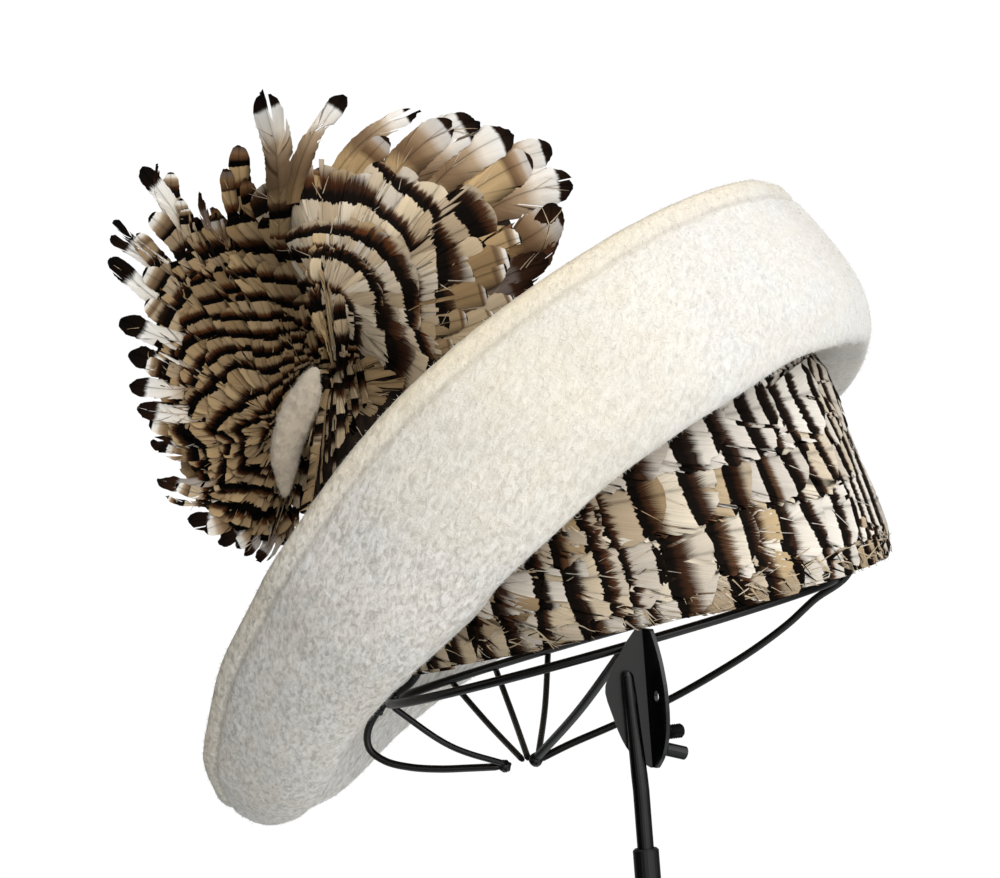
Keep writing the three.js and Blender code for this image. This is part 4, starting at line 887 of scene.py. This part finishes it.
def build_crown():
    n, m = 100, 26
    th = np.arange(n) / n * 2 * math.pi
    q = np.linspace(1.7, _prof_q[-1], m)
    v = np.interp(q, _prof_q, _prof_v)
    s = np.interp(q, _prof_q, _prof_s)
    out_ = np.stack([-(OPEN_LONG * s[None] - 1.3) * np.cos(th)[:, None], -(OPEN_WIDE * s[None] - 1.3) * np.sin(th)[:, None], v[None] + 0 * th[:, None]], -1)
    t = np.clip((v - 80) / (CROWN_TOP - 80), 0, 1)
    ins = np.maximum(CROWN_WALL * (1 - 0.4 * t), 0.6)
    in_ = np.stack([-np.maximum(OPEN_LONG * s - ins, 1)[None] * np.cos(th)[:, None], -np.maximum(OPEN_WIDE * s - ins, 1)[None] * np.sin(th)[:, None], (v - CROWN_WALL * t)[None] + 0 * th[:, None]], -1)
    P = np.concatenate([hat_world(out_).reshape(-1, 3), hat_world(in_).reshape(-1, 3)])
    f1 = grid_faces(n, m, True)
    f2 = grid_faces(n, m, True, n * m, True)
    i = np.arange(n)
    i2 = (i + 1) % n
    rim = np.stack([i * m, n * m + i * m, n * m + i2 * m, i2 * m], -1)
    top = np.stack([i * m + m - 1, i2 * m + m - 1, n * m + i2 * m + m - 1, n * m + i * m + m - 1], -1)
    f = np.concatenate([f1, f2, rim, top])
    ob = make("crown_shell", P, f, [under_feathers, lining])
    idx = np.zeros(len(f), np.int32)
    idx[len(f1):len(f1) + len(f2)] = 1
    ob.data.polygons.foreach_set("material_index", idx)
    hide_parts("crown")

    low, high = Pile(), Pile()
    # rows up the side: height of the shaft, half width, spacing, tilt
    rows = [(9, 14, 17, -2, low), (29, 16, 18, -4, low), (52, 18, 21, -4, low), (78, 20, 24, -3, high), (106, 22, 29, 0, high),
            (128, 21, 30, 0, high), (148, 19, 28, 2, high), (166, 17, 25, 4, high), (182, 15, 20, 8, high)]
    for k, (q0, wide, space, tilt, pile) in enumerate(rows):
        s_here = np.interp(q0, _prof_q, _prof_s)
        count = max(3, int(PERIMETER * s_here / space))
        L = 64 if s_here > 0.5 else 42
        for c in range(count):
            arc0 = (c + 0.5 * (k % 2) + rng.uniform(-0.2, 0.2)) * PERIMETER / count
            beta = rad(tilt + rng.normal(0, 4))
            qq = q0 + rng.normal(0, 3.0)
            seen_side = k < 5 and 8 < arc0 < 292
            shift = rng.normal(0, 3.0)
            lean = rng.uniform(0.45, 1.0)
            edge = 1.3 + rng.normal(0, 0.9)
            flat = 1 - 0.55 * float(smooth(arc0, 225, 275)) * (arc0 < 420)
            sink = 0.6 * float(smooth(arc0, 235, 285)) * float(1 - smooth(arc0, 360, 400)) * (k < 5)
            squeeze = 1 / max(s_here, 0.25)
            off = rng.normal(0, 0.08)
            te = rng.uniform(0.5, 1.3)

            def turned(a, b, beta=beta):
                return (a - L * 0.5) * math.cos(beta) - b * math.sin(beta), (a - L * 0.5) * math.sin(beta) + b * math.cos(beta)

            def surf(a, b, h, arc0=arc0, qq=qq, squeeze=squeeze, turned=turned, edge=edge, flat=flat, sink=sink):
                x, y = turned(a, b)
                return crown_point(arc0 + x * squeeze, np.clip(qq + y, edge, _prof_q[-1] - 0.3), h * flat - sink)

            def phase(a, b, arc0=arc0, qq=qq, squeeze=squeeze, off=off, turned=turned, seen_side=seen_side, shift=shift, lean=lean):
                x, y = turned(a, b * 0.35)
                if seen_side:
                    x, y = turned(a, b * lean)
                    return side_phase(arc0 + x * squeeze, np.clip(qq + y, 0, _prof_q[-1] - 0.3), shift)
                return crown_phase(arc0 + x * squeeze, qq + y) + off

            def height(a, b, wide=wide, te=te):
                sh = (wide - b) / (2 * wide)
                return 0.15 + 1.2 * np.clip(sh, 0, 1.1) + 0.8 * np.clip(a / L, 0, 1.1) ** 1.5 * te
            lightness = 0.42 + 0.78 * min(max(arc0, 0), 290) / 290
            feather(pile, surf, L, wide, phase, height, pitch=1.15, angle=38, tip_angle=18, pale=float(np.clip(rng.normal(lightness, 0.3), 0.1, 1.3)),
                    end=0.9, base=0.6, splits=4, ragged=0.035, whisk=1.2, stations=9 if seen_side else 4, curl=0.2)
    # loose barbs along the lower edge
    for _ in range(300):
        arc0 = rng.uniform(0, PERIMETER)
        if rng.uniform() < 0.45:
            arc0 = rng.uniform(90, 290)
        s0 = rng.uniform(1.5, 12.0)
        an = rad(rng.uniform(-75, 25))
        ln = rng.uniform(4, 11)
        cv = rng.normal(0, 0.35)
        t = np.linspace(0, 1, 6)[:, None]
        wd = np.array([-1, 1])[None, :] * rng.uniform(0.16, 0.5) * (1 - 0.8 * t)
        x = ln * (math.cos(an) * t + cv * 0.4 * t * t) - wd * math.sin(an)
        y = ln * (math.sin(an) * t - 0.3 * cv * t * t) + wd * math.cos(an)
        y = np.maximum(y, -s0 + 0.2 + 0 * y)
        h = 1.5 + rng.uniform(0, 1.3) * t + 0 * wd - 0.9 * float(smooth(arc0, 235, 285)) * float(1 - smooth(arc0, 360, 400))
        low.add(crown_point(arc0 + x, s0 + y, h), stack3(1.72 + 0 * x if rng.uniform() < 0.75 else 1.1 + 0 * x, 200.0, rng.uniform(0, 400)), stack3(rng.uniform() + 0 * x, 0.4, rng.uniform(0.3, 0.95)))
    low.object("crown_feathers_low")
    high.object("crown_feathers_high")


# ------------------------------------------------------------------ fan
_fa, _fe, _fr = rad(FAN["yaw"]), rad(FAN["lift"]), rad(FAN["roll"])
FZ = np.array([math.sin(_fa) * math.cos(_fe), -math.cos(_fa) * math.cos(_fe), math.sin(_fe)])
_al = np.array([math.cos(_fa), math.sin(_fa), 0.0])
_up = np.cross(FZ, _al)
FX = _al * math.cos(_fr) - _up * math.sin(_fr)
FY = _al * math.sin(_fr) + _up * math.cos(_fr)
FP = hat_world(np.array([FAN["u"], FAN["w"], FAN["v"]]))


def fan_world(p):
    return FP + p[..., :1] * FX + p[..., 1:2] * FY + p[..., 2:3] * FZ


def fan_z(x, y):
    turn = np.degrees(np.arctan2(y, x))
    turn = np.where(turn < -98, turn + 360, turn)
    r = np.hypot(x, y)
    t = np.interp(turn, FAN_ROWS[:, 0], np.arange(len(FAN_ROWS)))
    reach, mid, edge = (column(FAN_ROWS, c, t) for c in (1, 2, 3))
    s = (r - FAN["pit"]) / (reach - FAN["pit"])
    sc = np.clip(s, -0.08, 1.0)
    z = 4 * mid * sc * (1 - sc) + edge * sc * (2 * sc - 1)
    return z + np.where(s > 1, (s - 1) * np.clip(-4 * mid + 3 * edge, -45, 45) * 0.45, 0)


def fan_at(x, y, h):
    """World point over the fan's middle surface; x, y in its own plane."""
    z = fan_z(x, y)
    e = 1.2
    gx = np.clip((fan_z(x + e, y) - fan_z(x - e, y)) / (2 * e), -1.6, 1.6)
    gy = np.clip((fan_z(x, y + e) - fan_z(x, y - e)) / (2 * e), -1.6, 1.6)
    k = 1 / np.sqrt(1 + gx * gx + gy * gy)
    return fan_world(stack3(x - gx * k * h, y - gy * k * h, z + k * h))


def seen(px, py):
    """Fan-plane point that is seen at px, py of a picture 1000 wide."""
    z = 0.0
    for _ in range(4):
        x = (px - 500) * (1569.3 - z) / 3840 + 69.4
        y = (439 - py) * (1569.3 - z) / 3840 - 24.2
        z = float(fan_z(np.float64(x), np.float64(y)))
    return np.array([x, y])


def pictured(x, y, h=0.0):
    """The same way back: where the point at height h over a fan-plane point is seen."""
    e = 1.2
    gx = np.clip((fan_z(x + e, y) - fan_z(x - e, y)) / (2 * e), -1.6, 1.6)
    gy = np.clip((fan_z(x, y + e) - fan_z(x, y - e)) / (2 * e), -1.6, 1.6)
    n = h / np.sqrt(1 + gx * gx + gy * gy)
    k = 3840 / (1569.3 - fan_z(x, y) - n)
    return 500 + k * (x - gx * n - 69.4), 439 - k * (y - gy * n + 24.2)


def bar_table(turns, bars):
    n = len(turns)
    full = lambda v: np.broadcast_to(np.asarray(v, float), (n,))
    rows = []
    for inner, black, rust in bars:
        inner, black, rust = full(inner), full(black), full(rust)
        rows += [inner, inner + black, inner + black + rust]
    rows.append(rows[-3] + 40)
    return np.array(turns, float), np.maximum.accumulate(np.array(rows), axis=0)


# (lower limit of turn, table): beyond 39 degrees one of the rear bars has run out
REAR_TABLE = [(-400, bar_table(REAR_TURNS, REAR_BARS)), (39, bar_table(REAR_TURNS, REAR_BARS[:4] + REAR_BARS[5:]))]
FORE_TABLE = [(-400, bar_table(FORE_TURNS, FORE_BARS))]
BAR_STEPS = [0.0, 0.30, 0.52]


def seen_polar(centre, px, py):
    turn = np.degrees(np.arctan2(px - centre[0], centre[1] - py))
    return np.where(turn > 120, turn - 360, turn), np.hypot(px - centre[0], py - centre[1])


def bar_phase(tables, centre, px, py, shift=0.0):
    turn, r = seen_polar(centre, px, py)
    r = r + shift
    y = 0.75 - 0 * r
    for limit, (turns, edges) in tables:
        t = np.interp(turn, turns, np.arange(len(turns)))
        i = np.clip(np.floor(t).astype(int), 0, len(turns) - 2)
        f = t - i
        e = edges[:, i] * (1 - f) + edges[:, i + 1] * f
        z = 0.75 - 0 * r
        for k in range(len(edges) - 1):
            p0 = k // 3 + 1 + BAR_STEPS[k % 3]
            p1 = (k + 1) // 3 + 1 + BAR_STEPS[(k + 1) % 3]
            z = np.where(r >= e[k], p0 + (p1 - p0) * np.clip((r - e[k]) / np.maximum(e[k + 1] - e[k], 0.05), 0, 1), z)
        y = np.where(turn >= limit, z, y)
    return y


def seen_from(centre, turn, r):
    a = rad(turn)
    return centre[0] + r * math.sin(a), centre[1] - r * math.cos(a)


def lay(pile, root, tip, wide, bend, face, base_h, lift, tilt, phase_of, **kw):
    """A feather on the fan from root to tip (fan-plane millimetres), its middle pushed sideways by bend."""
    root, tip = np.asarray(root, float), np.asarray(tip, float)
    L = float(np.linalg.norm(tip - root)) * (1 + 0.6 * (bend / max(np.linalg.norm(tip - root), 1)) ** 2)
    d = unit(tip - root)
    c = (root + tip) / 2 + np.array([-d[1], d[0]]) * bend * 2

    def place(a, b):
        t = (a / L)[..., None]
        p = (1 - t) ** 2 * root + 2 * t * (1 - t) * c + t * t * tip
        g = unit(2 * (1 - t) * (c - root) + 2 * t * (tip - c))
        return p[..., 0] - g[..., 1] * b, p[..., 1] + g[..., 0] * b

    def surf(a, b, h):
        x, y = place(a, b)
        return fan_at(x, y, face * h)

    def phase(a, b):
        return phase_of(*place(a, b), a)

    def height(a, b):
        x = np.clip(a / L, 0, 1.1)
        return base_h + lift * x ** 1.5 + tilt * b / wide - 0.1 * wide * (b / wide) ** 2
    feather(pile, surf, L, wide, phase, height, **kw)


def reach_at(turn):
    return float(column(FAN_ROWS, 1, np.interp(turn, FAN_ROWS[:, 0], np.arange(len(FAN_ROWS)))))


def build_fan():
    n, m = 100, 20
    turn = np.radians(np.linspace(-98, 261, n))[:, None]
    reach = np.array([reach_at(math.degrees(t)) for t in turn[:, 0]])[:, None]
    full_reach = 0.8 + 0.24 * np.maximum(smooth(-np.degrees(turn), 70, 90), smooth(np.degrees(turn), 245, 255))
    r = 0.3 + (reach * full_reach - 0.3) * np.linspace(0, 1, m)[None, :]
    X, Y = r * np.cos(turn), r * np.sin(turn)
    P = np.concatenate([fan_at(X, Y, 0.5 + 0 * X).reshape(-1, 3), fan_at(X, Y, -0.5 + 0 * X).reshape(-1, 3)])
    f1 = grid_faces(n, m)
    f2 = grid_faces(n, m, offset=n * m, flip=True)
    i = np.arange(n - 1)
    e1 = np.stack([i * m + m - 1, (i + 1) * m + m - 1, n * m + (i + 1) * m + m - 1, n * m + i * m + m - 1], -1)
    e0 = np.stack([i * m, n * m + i * m, n * m + (i + 1) * m, (i + 1) * m], -1)
    j = np.arange(m - 1)
    s0 = np.stack([j, j + 1, n * m + j + 1, n * m + j], -1)
    s1 = np.stack([(n - 1) * m + j, n * m + (n - 1) * m + j, n * m + (n - 1) * m + j + 1, (n - 1) * m + j + 1], -1)
    ob = make("fan_shell", P, np.concatenate([f1, f2, e1, e0, s0, s1]), under_feathers)
    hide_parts("feather_fan")

    def barred(table, centre, root, tip, shift, keep, h):
        """Bars of a table, read mostly on the feather's own line, so that they run straight across it."""
        d = unit(tip - root)

        def phase_of(x, y, a):
            b = (y - root[1]) * d[0] - (x - root[0]) * d[1]
            px, py = pictured(x + d[1] * b * (1 - keep), y - d[0] * b * (1 - keep), h)
            return bar_phase(table, centre, px, py, shift)
        return phase_of
    short = lambda pitch, off: (lambda x, y, a: a / pitch + off)
    plain = lambda off: (lambda x, y, a: 0.74 + off + 0 * a)

    tips = Pile()
    for tx, ty, rx, ry, half, cap, bend, warm in TIP_ROWS:
        tip, root = seen(tx, ty), seen(rx, ry)
        right = tx > 300
        over = ty < 100 or tx < 210
        lay(tips, root, tip, half / 2.42, bend / 2.42, 1, 3.4 if ty < 100 else (2.2 if over else 0.9), 1.0 + rng.uniform(0, 2), 0.35 * rng.choice([-1, 1]),
            plain(rng.uniform(-0.05, 0.1)) if right else short(11.5, rng.uniform(0, 1)), pitch=0.95, angle=34, tip_angle=10, tipped=True, cap=cap / 2.42, pale=-warm,
            end=1.4, base=0.75, splits=1.6, ragged=0.035, whisk=1.4 if ty < 480 else 0.4, stations=4)
    tips.object("fan_tips")

    for face, name in ((1, "front"), (-1, "back")):
        rear, fore = Pile(), Pile()
        fine = 1 if face == 1 else 0
        # rear half: long feathers from the fold outwards, the inner ones on top and ending just past a bar
        for row, (s0, stop, wide, step) in enumerate([(34, None, 21, 9.0), (14, 4.56, 17, 10.0), (4, 3.56, 13, 13.0)]):
            for turn0 in np.arange((-26, -16, 8)[row], 128, step):
                t0 = turn0 + rng.normal(0, 1.0)
                ray = np.arange(8.0, 280.0, 1.0)
                px, py = REAR_ROOT[0] + ray * math.sin(rad(t0)), REAR_ROOT[1] - ray * math.cos(rad(t0))
                turn_, r_ = seen_polar(REAR_CENTRE, px, py)
                past = r_ > np.interp(turn_, *zip(*REAR_REACH))
                if stop:
                    past = past | ((bar_phase(REAR_TABLE, REAR_CENTRE, px, py) > stop) & (ray > 20))
                end = float(ray[np.argmax(past)]) + rng.uniform(-2, 3)
                if end < s0 + 18:
                    continue
                lean = rng.normal(0, 1.5)
                p0 = seen(*seen_from(REAR_ROOT, t0 - lean, s0))
                p1 = seen(*seen_from(REAR_ROOT, t0 + lean * 0.4, end))
                lay(rear, p0, p1, wide / 2.42 * min(1.0, 0.35 + 0.65 * end / (130, 90, 60)[row]), rng.normal(0, 0.8), face, 1.3 + 0.9 * row, 1.2, 0.8,
                    barred(REAR_TABLE, REAR_CENTRE, p0, p1, rng.normal(0, 1.6), 0.6, 2.0 + 0.9 * row), pitch=1.1 if fine else 2.2, angle=26, tip_angle=12,
                    pale=float(np.clip(rng.normal(0.72, 0.2), 0, 0.98)), end=0.7, base=0.45, splits=3, ragged=0.02, whisk=0.8, stations=4 + 7 * fine)
        # front half: narrow feathers round the crescent, bent round towards the fold at the top
        for k, (fa, fb, half) in enumerate([(0.58, 1.0, 12.5), (0.40, 0.82, 11.5), (0.22, 0.62, 10), (0.06, 0.42, 8)]):
            count = [34, 29, 24, 18][k]
            for c in range(count):
                q = max(0.0, (c + 0.5 * (k % 2) + rng.uniform(-0.3, 0.3)) / count)
                t0 = -178 + 208 * q ** 0.92
                out = float(np.interp(t0, *zip(*FORE_REACH)))
                lean = 34 * float(smooth(t0, -50, 10)) * (1 - 0.4 * k / 3)
                r1 = out * fb * rng.uniform(0.96, 1.04)
                r0 = max(out * fa * rng.uniform(0.94, 1.06), 12)
                root = seen(*seen_from(FORE_CENTRE, t0 + lean * 0.6, r0))
                tip = seen(*seen_from(FORE_CENTRE, t0 - lean * 0.4 * (1.0 if k else 0.6), r1))
                # the fore feathers get little paleness: their dull cream and deepest black are painted shade, the fan's
                # fore half lying in shade
                lay(fore, root, tip, half / 2.42 * rng.uniform(0.85, 1.2) * (1 - 0.25 * float(smooth(t0, -60, 0))), rng.normal(0, 0.8), face, 1.2 + 0.8 * k, 1.6, 1.2,
                    barred(FORE_TABLE, FORE_CENTRE, root, tip, rng.normal(0, 2.6), 0.85, 2.0 + 0.8 * k), pitch=1.05 if fine else 2.2, angle=22, tip_angle=11,
                    pale=0.1 * rng.uniform(), end=1.0, base=0.6, splits=2.5, ragged=0.03, whisk=0.4, stations=3 + 5 * fine)
        if face == 1:
            for tx, ty, rx, ry, half, bar, pale in STREAK_ROWS:
                lay(fore, seen(rx, ry), seen(tx, ty), half / 2.42, rng.normal(0, 0.9), 1, 0.9 if half > 9 else 3.4 + rng.uniform(0, 1.6), 0.4, 0.8,
                    short(bar / 2.42, rng.uniform(0, 1)) if bar else plain(rng.uniform(-0.1, 0.15)), pitch=0.8, angle=18, tip_angle=10, pale=pale, end=2.0, base=0.5, splits=3, ragged=0.06, whisk=1.2, stations=4)
        rear.object(f"fan_rear_feathers_{name}")
        fore.object(f"fan_fore_feathers_{name}")


# ------------------------------------------------------------------ felt crescent
def build_crescent():
    n, k = 90, 48
    last = len(CRESCENT_ROWS) - 1
    t = np.linspace(0, last, n)
    c = np.stack([column(CRESCENT_ROWS, i, t) for i in range(3)], -1)
    rr = np.maximum(column(CRESCENT_ROWS, 3, t), 0.3) * np.minimum(1, np.minimum(np.linspace(0, 1, n) / 0.03, np.linspace(1, 0, n) / 0.03)) ** 0.5
    run = unit(np.gradient(c, axis=0))
    side = unit(np.cross(run, np.array([0, 0, 1.0])))
    face = unit(np.cross(side, run))
    a = np.arange(k) / k * 2 * math.pi
    bulge = 1 + 0.05 * waves(t[:, None] * 12, a[None, :] * 8, 31, 5, 14)
    P = c[:, None] + rr[:, None, None] * bulge[..., None] * (side[:, None] * np.cos(a)[None, :, None] + 0.64 * face[:, None] * np.sin(a)[None, :, None])
    W = fan_world(P)
    i = np.arange(n - 1)[:, None]
    j = np.arange(k)[None, :]
    j2 = (j + 1) % k
    f = np.stack([i * k + j, i * k + j2, (i + 1) * k + j2, (i + 1) * k + j], -1).reshape(-1, 4)
    z = np.zeros((n * k, 3))
    ob = make("felt_crescent_pad", W.reshape(-1, 3), f, crescent_shaded_mat, attrs={"hem": z})
    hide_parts("felt_crescent")
    q, nn, tt, ii, jj = grid_sample(np.transpose(W, (1, 0, 2)), 9000, 33)
    ctr = fan_world(c)[np.clip(jj, 0, n - 1)]
    s = np.where(((q - ctr) * nn).sum(1) < 0, -1.0, 1.0)[:, None]
    fibres("crescent_nap", q, nn * s, tt, len(q), 1.6, 0.08, 34, 0.6, 1.2, crescent_shaded_nap_mat)


# ------------------------------------------------------------------ wire head form, the same centre lines with round wire
WIRE_RING = dict(u=-14.6, v=-7.5, long=97.5, wide=78.0, rise=0.047)
FRONT_BACK = np.array([
    [-72, -49.2], [-86.3, -46.8], [-99, -44.5], [-111.5, -41], [-121.4, -36.2], [-126.7, -30], [-126.3, -23.6], [-121.5, -16.8], [-113, -11],
    [-103, -6.5], [-97.6, -1], [-95.5, 14], [-94, 42], [-88, 70], [-73, 96], [-45, 112.5], [0, 118], [45, 112.5], [73, 96], [88, 70], [94, 42],
    [94.5, 14], [88, -2], [72, -9.4], [59.4, -16.6], [43.6, -23.7], [28, -29.3], [5, -36.3], [-21, -42], [-43, -46.2], [-58, -49.9]])
RIB_WIRES = [(50, -97.3, -63, 2, 2.7), (66, -80, -61, 2, 2.7), (76.5, -57, -57, 2, 2.7), (-26, -107.5, -70, 4, 2.7), (-76, 4, -58, 2, 3.8)]   # w, u, hub u, bow, thickness


def through(points, closed, step=1.7):
    """Points along a smooth line through the given ones."""
    p = np.asarray(points, float)
    n = len(p)
    p = np.concatenate([p[-1:], p, p[:2]]) if closed else np.concatenate([2 * p[:1] - p[1:2], p, 2 * p[-1:] - p[-2:-1]])
    out = []
    for i in range(n if closed else n - 1):
        a, b, c, d = p[i:i + 4]
        d0, d1, d2 = (max(np.linalg.norm(y - x), 1e-6) ** 0.5 for x, y in ((a, b), (b, c), (c, d)))
        t1 = ((b - a) / d0 - (c - a) / (d0 + d1) + (c - b) / d1) * d1
        t2 = ((c - b) / d1 - (d - b) / (d1 + d2) + (d - c) / d2) * d1
        k = max(2, int(np.linalg.norm(c - b) / step))
        t = np.arange(k)[:, None] / k
        out.append(b + t1 * t + (-3 * b + 3 * c - 2 * t1 - t2) * t ** 2 + (2 * b - 2 * c + t1 + t2) * t ** 3)
    if not closed:
        out.append(p[-2][None])
    return np.concatenate(out)


def build_wires():
    P, F, total = [], [], 0

    def add(points, faces):
        nonlocal total
        P.append(points)
        F.append(faces + total)
        total += len(points)

    def tube(points, thick, closed=False, around=14):
        c = through(points, closed)
        n = len(c)
        run = unit(np.roll(c, -1, 0) - np.roll(c, 1, 0)) if closed else unit(np.gradient(c, axis=0))
        side = np.zeros_like(c)
        s0 = np.cross(run[0], [0.0, 0.0, 1.0])
        if np.linalg.norm(s0) < 0.3:
            s0 = np.cross(run[0], [1.0, 0.0, 0.0])
        side[0] = unit(s0)
        for i in range(1, n):
            side[i] = unit(side[i - 1] - run[i] * np.dot(side[i - 1], run[i]))
        up_ = np.cross(run, side)
        r = np.full(n, thick / 2)
        if not closed:
            r[0] = r[-1] = 0.02
            r[1], r[-2] = 0.8 * thick / 2, 0.8 * thick / 2
        a = np.arange(around) / around * 2 * math.pi
        ring = c[:, None] + r[:, None, None] * (side[:, None] * np.cos(a)[None, :, None] + up_[:, None] * np.sin(a)[None, :, None])
        i = np.arange(n if closed else n - 1)[:, None]
        i2 = (i + 1) % n
        j = np.arange(around)[None, :]
        j2 = (j + 1) % around
        add(ring.reshape(-1, 3), np.stack([i * around + j, i * around + j2, i2 * around + j2, i2 * around + j], -1).reshape(-1, 4))

    def solder(centre, r, seed):
        n, m = 18, 26
        th = np.linspace(0.02, math.pi - 0.02, n)[:, None]
        fi = np.arange(m)[None, :] / m * 2 * math.pi
        lump = 1 + 0.07 * waves(th * 14 + 0 * fi, np.sin(fi) * 9 + 0 * th, seed, 4, 12) + 0.05 * waves(th * 14 + 0 * fi, np.cos(fi) * 9 + 0 * th, seed + 1, 4, 12)
        q = np.stack([np.sin(th) * np.cos(fi), np.sin(th) * np.sin(fi), np.cos(th) + 0 * fi], -1) * (r * lump)[..., None] + np.asarray(centre, float)
        i = np.arange(n - 1)[:, None]
        j = np.arange(m)[None, :]
        j2 = (j + 1) % m
        add(q.reshape(-1, 3), np.stack([i * m + j, (i + 1) * m + j, (i + 1) * m + j2, i * m + j2], -1).reshape(-1, 4))

    g = WIRE_RING
    a = np.arange(40) / 40 * 2 * math.pi
    tube(np.stack([g["u"] + g["long"] * np.cos(a), g["wide"] * np.sin(a), g["v"] + g["rise"] * g["long"] * np.cos(a)], -1), 3.8, True)
    tube(np.stack([FRONT_BACK[:, 0], 0 * FRONT_BACK[:, 0], FRONT_BACK[:, 1]], -1), 3.2)
    for w, u, hub_u, bow, thick in RIB_WIRES:
        end = np.array([u, w, g["v"] + g["rise"] * (u - g["u"])])
        hub = np.array([hub_u, 0, -49.0])
        tube([end, (end + hub) / 2 + np.array([0, math.copysign(bow, w), -bow]), hub], thick)
    cross = []
    for t in np.linspace(-0.02, math.pi + 0.02, 17):
        c, sn = math.cos(t), math.sin(t)
        cross.append([12, -math.copysign(abs(c) ** 0.8, c) * 77.5, g["v"] + 1.2 + (0 if sn < 0 else (117.6 - g["v"] - 1.2) * sn ** 0.8)])
    tube(cross, 2.7)
    solder((-58, 0, -49.4), 3.0, 61)
    solder((-71.5, 0, -49.2), 2.7, 63)
    solder((-119, 0, -14.6), 2.45, 65)
    solder((-111.3, 0, -10.4), 2.45, 67)
    ob = make("wire_form_round", hat_world(np.concatenate(P)), np.concatenate(F), paint)
    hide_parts("wire_form")


build_nap()
build_wires()
build_crown()
build_fan()
build_crescent()

# ------------------------------------------------------------------ stand
for name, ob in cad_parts.items():
    if name in ("wire_form", "clamp_bracket", "clamp_bolt", "clamp_nut", "stand_rod", "rod_sleeve", "stand_base"):
        ob.data.materials.clear()
        ob.data.materials.append(sleeve_paint if name == "rod_sleeve" else paint)

# ------------------------------------------------------------------ backdrop, light, camera
def build_stage():
    m = bpy.data.materials.new("backdrop")
    m.use_nodes = True
    t = m.node_tree
    t.nodes.clear()
    out = t.nodes.new("ShaderNodeOutputMaterial")
    em = t.nodes.new("ShaderNodeEmission")
    em.inputs[0].default_value = (1, 1, 1, 1)
    em.inputs[1].default_value = 1.02
    t.links.new(em.outputs[0], out.inputs[0])
    bpy.ops.mesh.primitive_uv_sphere_add(segments=48, ring_count=24, radius=7.0, location=(0, 0, 0))
    dome = bpy.context.object
    dome.name = "backdrop"
    dome.data.materials.append(m)
    bpy.ops.mesh.primitive_circle_add(vertices=64, radius=6.9, fill_type="NGON", location=(0, 0, -0.0005))
    floor = bpy.context.object
    floor.name = "floor"
    floor.data.materials.append(m)
    for o in (dome, floor):
        o.visible_diffuse = False
        o.visible_glossy = False
        o.visible_transmission = False
        o.visible_shadow = False


build_stage()


# soft light from all round: direction it comes from, tightness, strength, colour
LIGHT_ROWS = [
    ((0.60, -0.50, 0.60), 4, 3.43, (1.0, 1.0, 1.0)),
    ((0.19, -0.98, 0.05), 4, 0.70, (1.0, 0.98, 0.93)),
    ((0.0, 0.0, -1.0), 4, 1.17, (0.96, 0.99, 1.0)),
    ((0.60, -0.30, -0.60), 4, 0.78, (0.96, 0.99, 1.0)),
    ((-0.35, 1.0, 0.15), 2, 0.45, (1.0, 1.0, 1.0)),
]


def build_light():
    w = bpy.data.worlds.new("studio")
    bpy.context.scene.world = w
    w.use_nodes = True
    t = w.node_tree
    bg = t.nodes["Background"]
    tc = t.nodes.new("ShaderNodeTexCoord")
    total = None
    for d, tight, strength, colour in LIGHT_ROWS:
        dot = t.nodes.new("ShaderNodeVectorMath")
        dot.operation = "DOT_PRODUCT"
        dot.inputs[1].default_value = Vector(d).normalized()
        t.links.new(tc.outputs["Generated"], dot.inputs[0])
        half = t.nodes.new("ShaderNodeMath")
        half.operation = "MAXIMUM"
        half.inputs[1].default_value = 0.0
        t.links.new(dot.outputs["Value"], half.inputs[0])
        power = t.nodes.new("ShaderNodeMath")
        power.operation = "POWER"
        power.inputs[1].default_value = tight
        t.links.new(half.outputs[0], power.inputs[0])
        col = t.nodes.new("ShaderNodeVectorMath")
        col.operation = "SCALE"
        col.inputs[0].default_value = [c * strength for c in colour]
        t.links.new(power.outputs[0], col.inputs["Scale"])
        if total is None:
            total = col.outputs[0]
        else:
            add = t.nodes.new("ShaderNodeVectorMath")
            add.operation = "ADD"
            t.links.new(total, add.inputs[0])
            t.links.new(col.outputs[0], add.inputs[1])
            total = add.outputs[0]
    t.links.new(total, bg.inputs[0])
    bg.inputs[1].default_value = 1.0


build_light()


def build_camera():
    cam = bpy.data.cameras.new("camera")
    cam.lens = 138.24
    cam.sensor_width = 36
    cam.sensor_fit = "HORIZONTAL"
    cam.clip_end = 50
    o = bpy.data.objects.new("camera", cam)
    bpy.context.scene.collection.objects.link(o)
    az, el, roll = rad(11), rad(1.67), rad(4.5)
    back = Vector((math.sin(az) * math.cos(el), -math.cos(az) * math.cos(el), math.sin(el)))
    r0 = Vector((math.cos(az), math.sin(az), 0))
    t0 = r0.cross(-back)
    x = math.cos(roll) * r0 - math.sin(roll) * t0
    y = math.sin(roll) * r0 + math.cos(roll) * t0
    D, F = 1.6, 3840.0
    dx, dy = (641.6 - 500) / F * D, -(615.22 - 439) / F * D
    c = Vector(HAT * MM) + D * back - dx * x - dy * y
    m = Matrix((x, y, back)).transposed().to_4x4()
    m.translation = c
    o.matrix_world = m
    bpy.context.scene.camera = o


build_camera()
sc = bpy.context.scene
sc.view_settings.view_transform = "Standard"
sc.view_settings.look = "None"
sc.view_settings.exposure = 0.0
sc.view_settings.gamma = 1.0
sc.cycles.max_bounces = 6
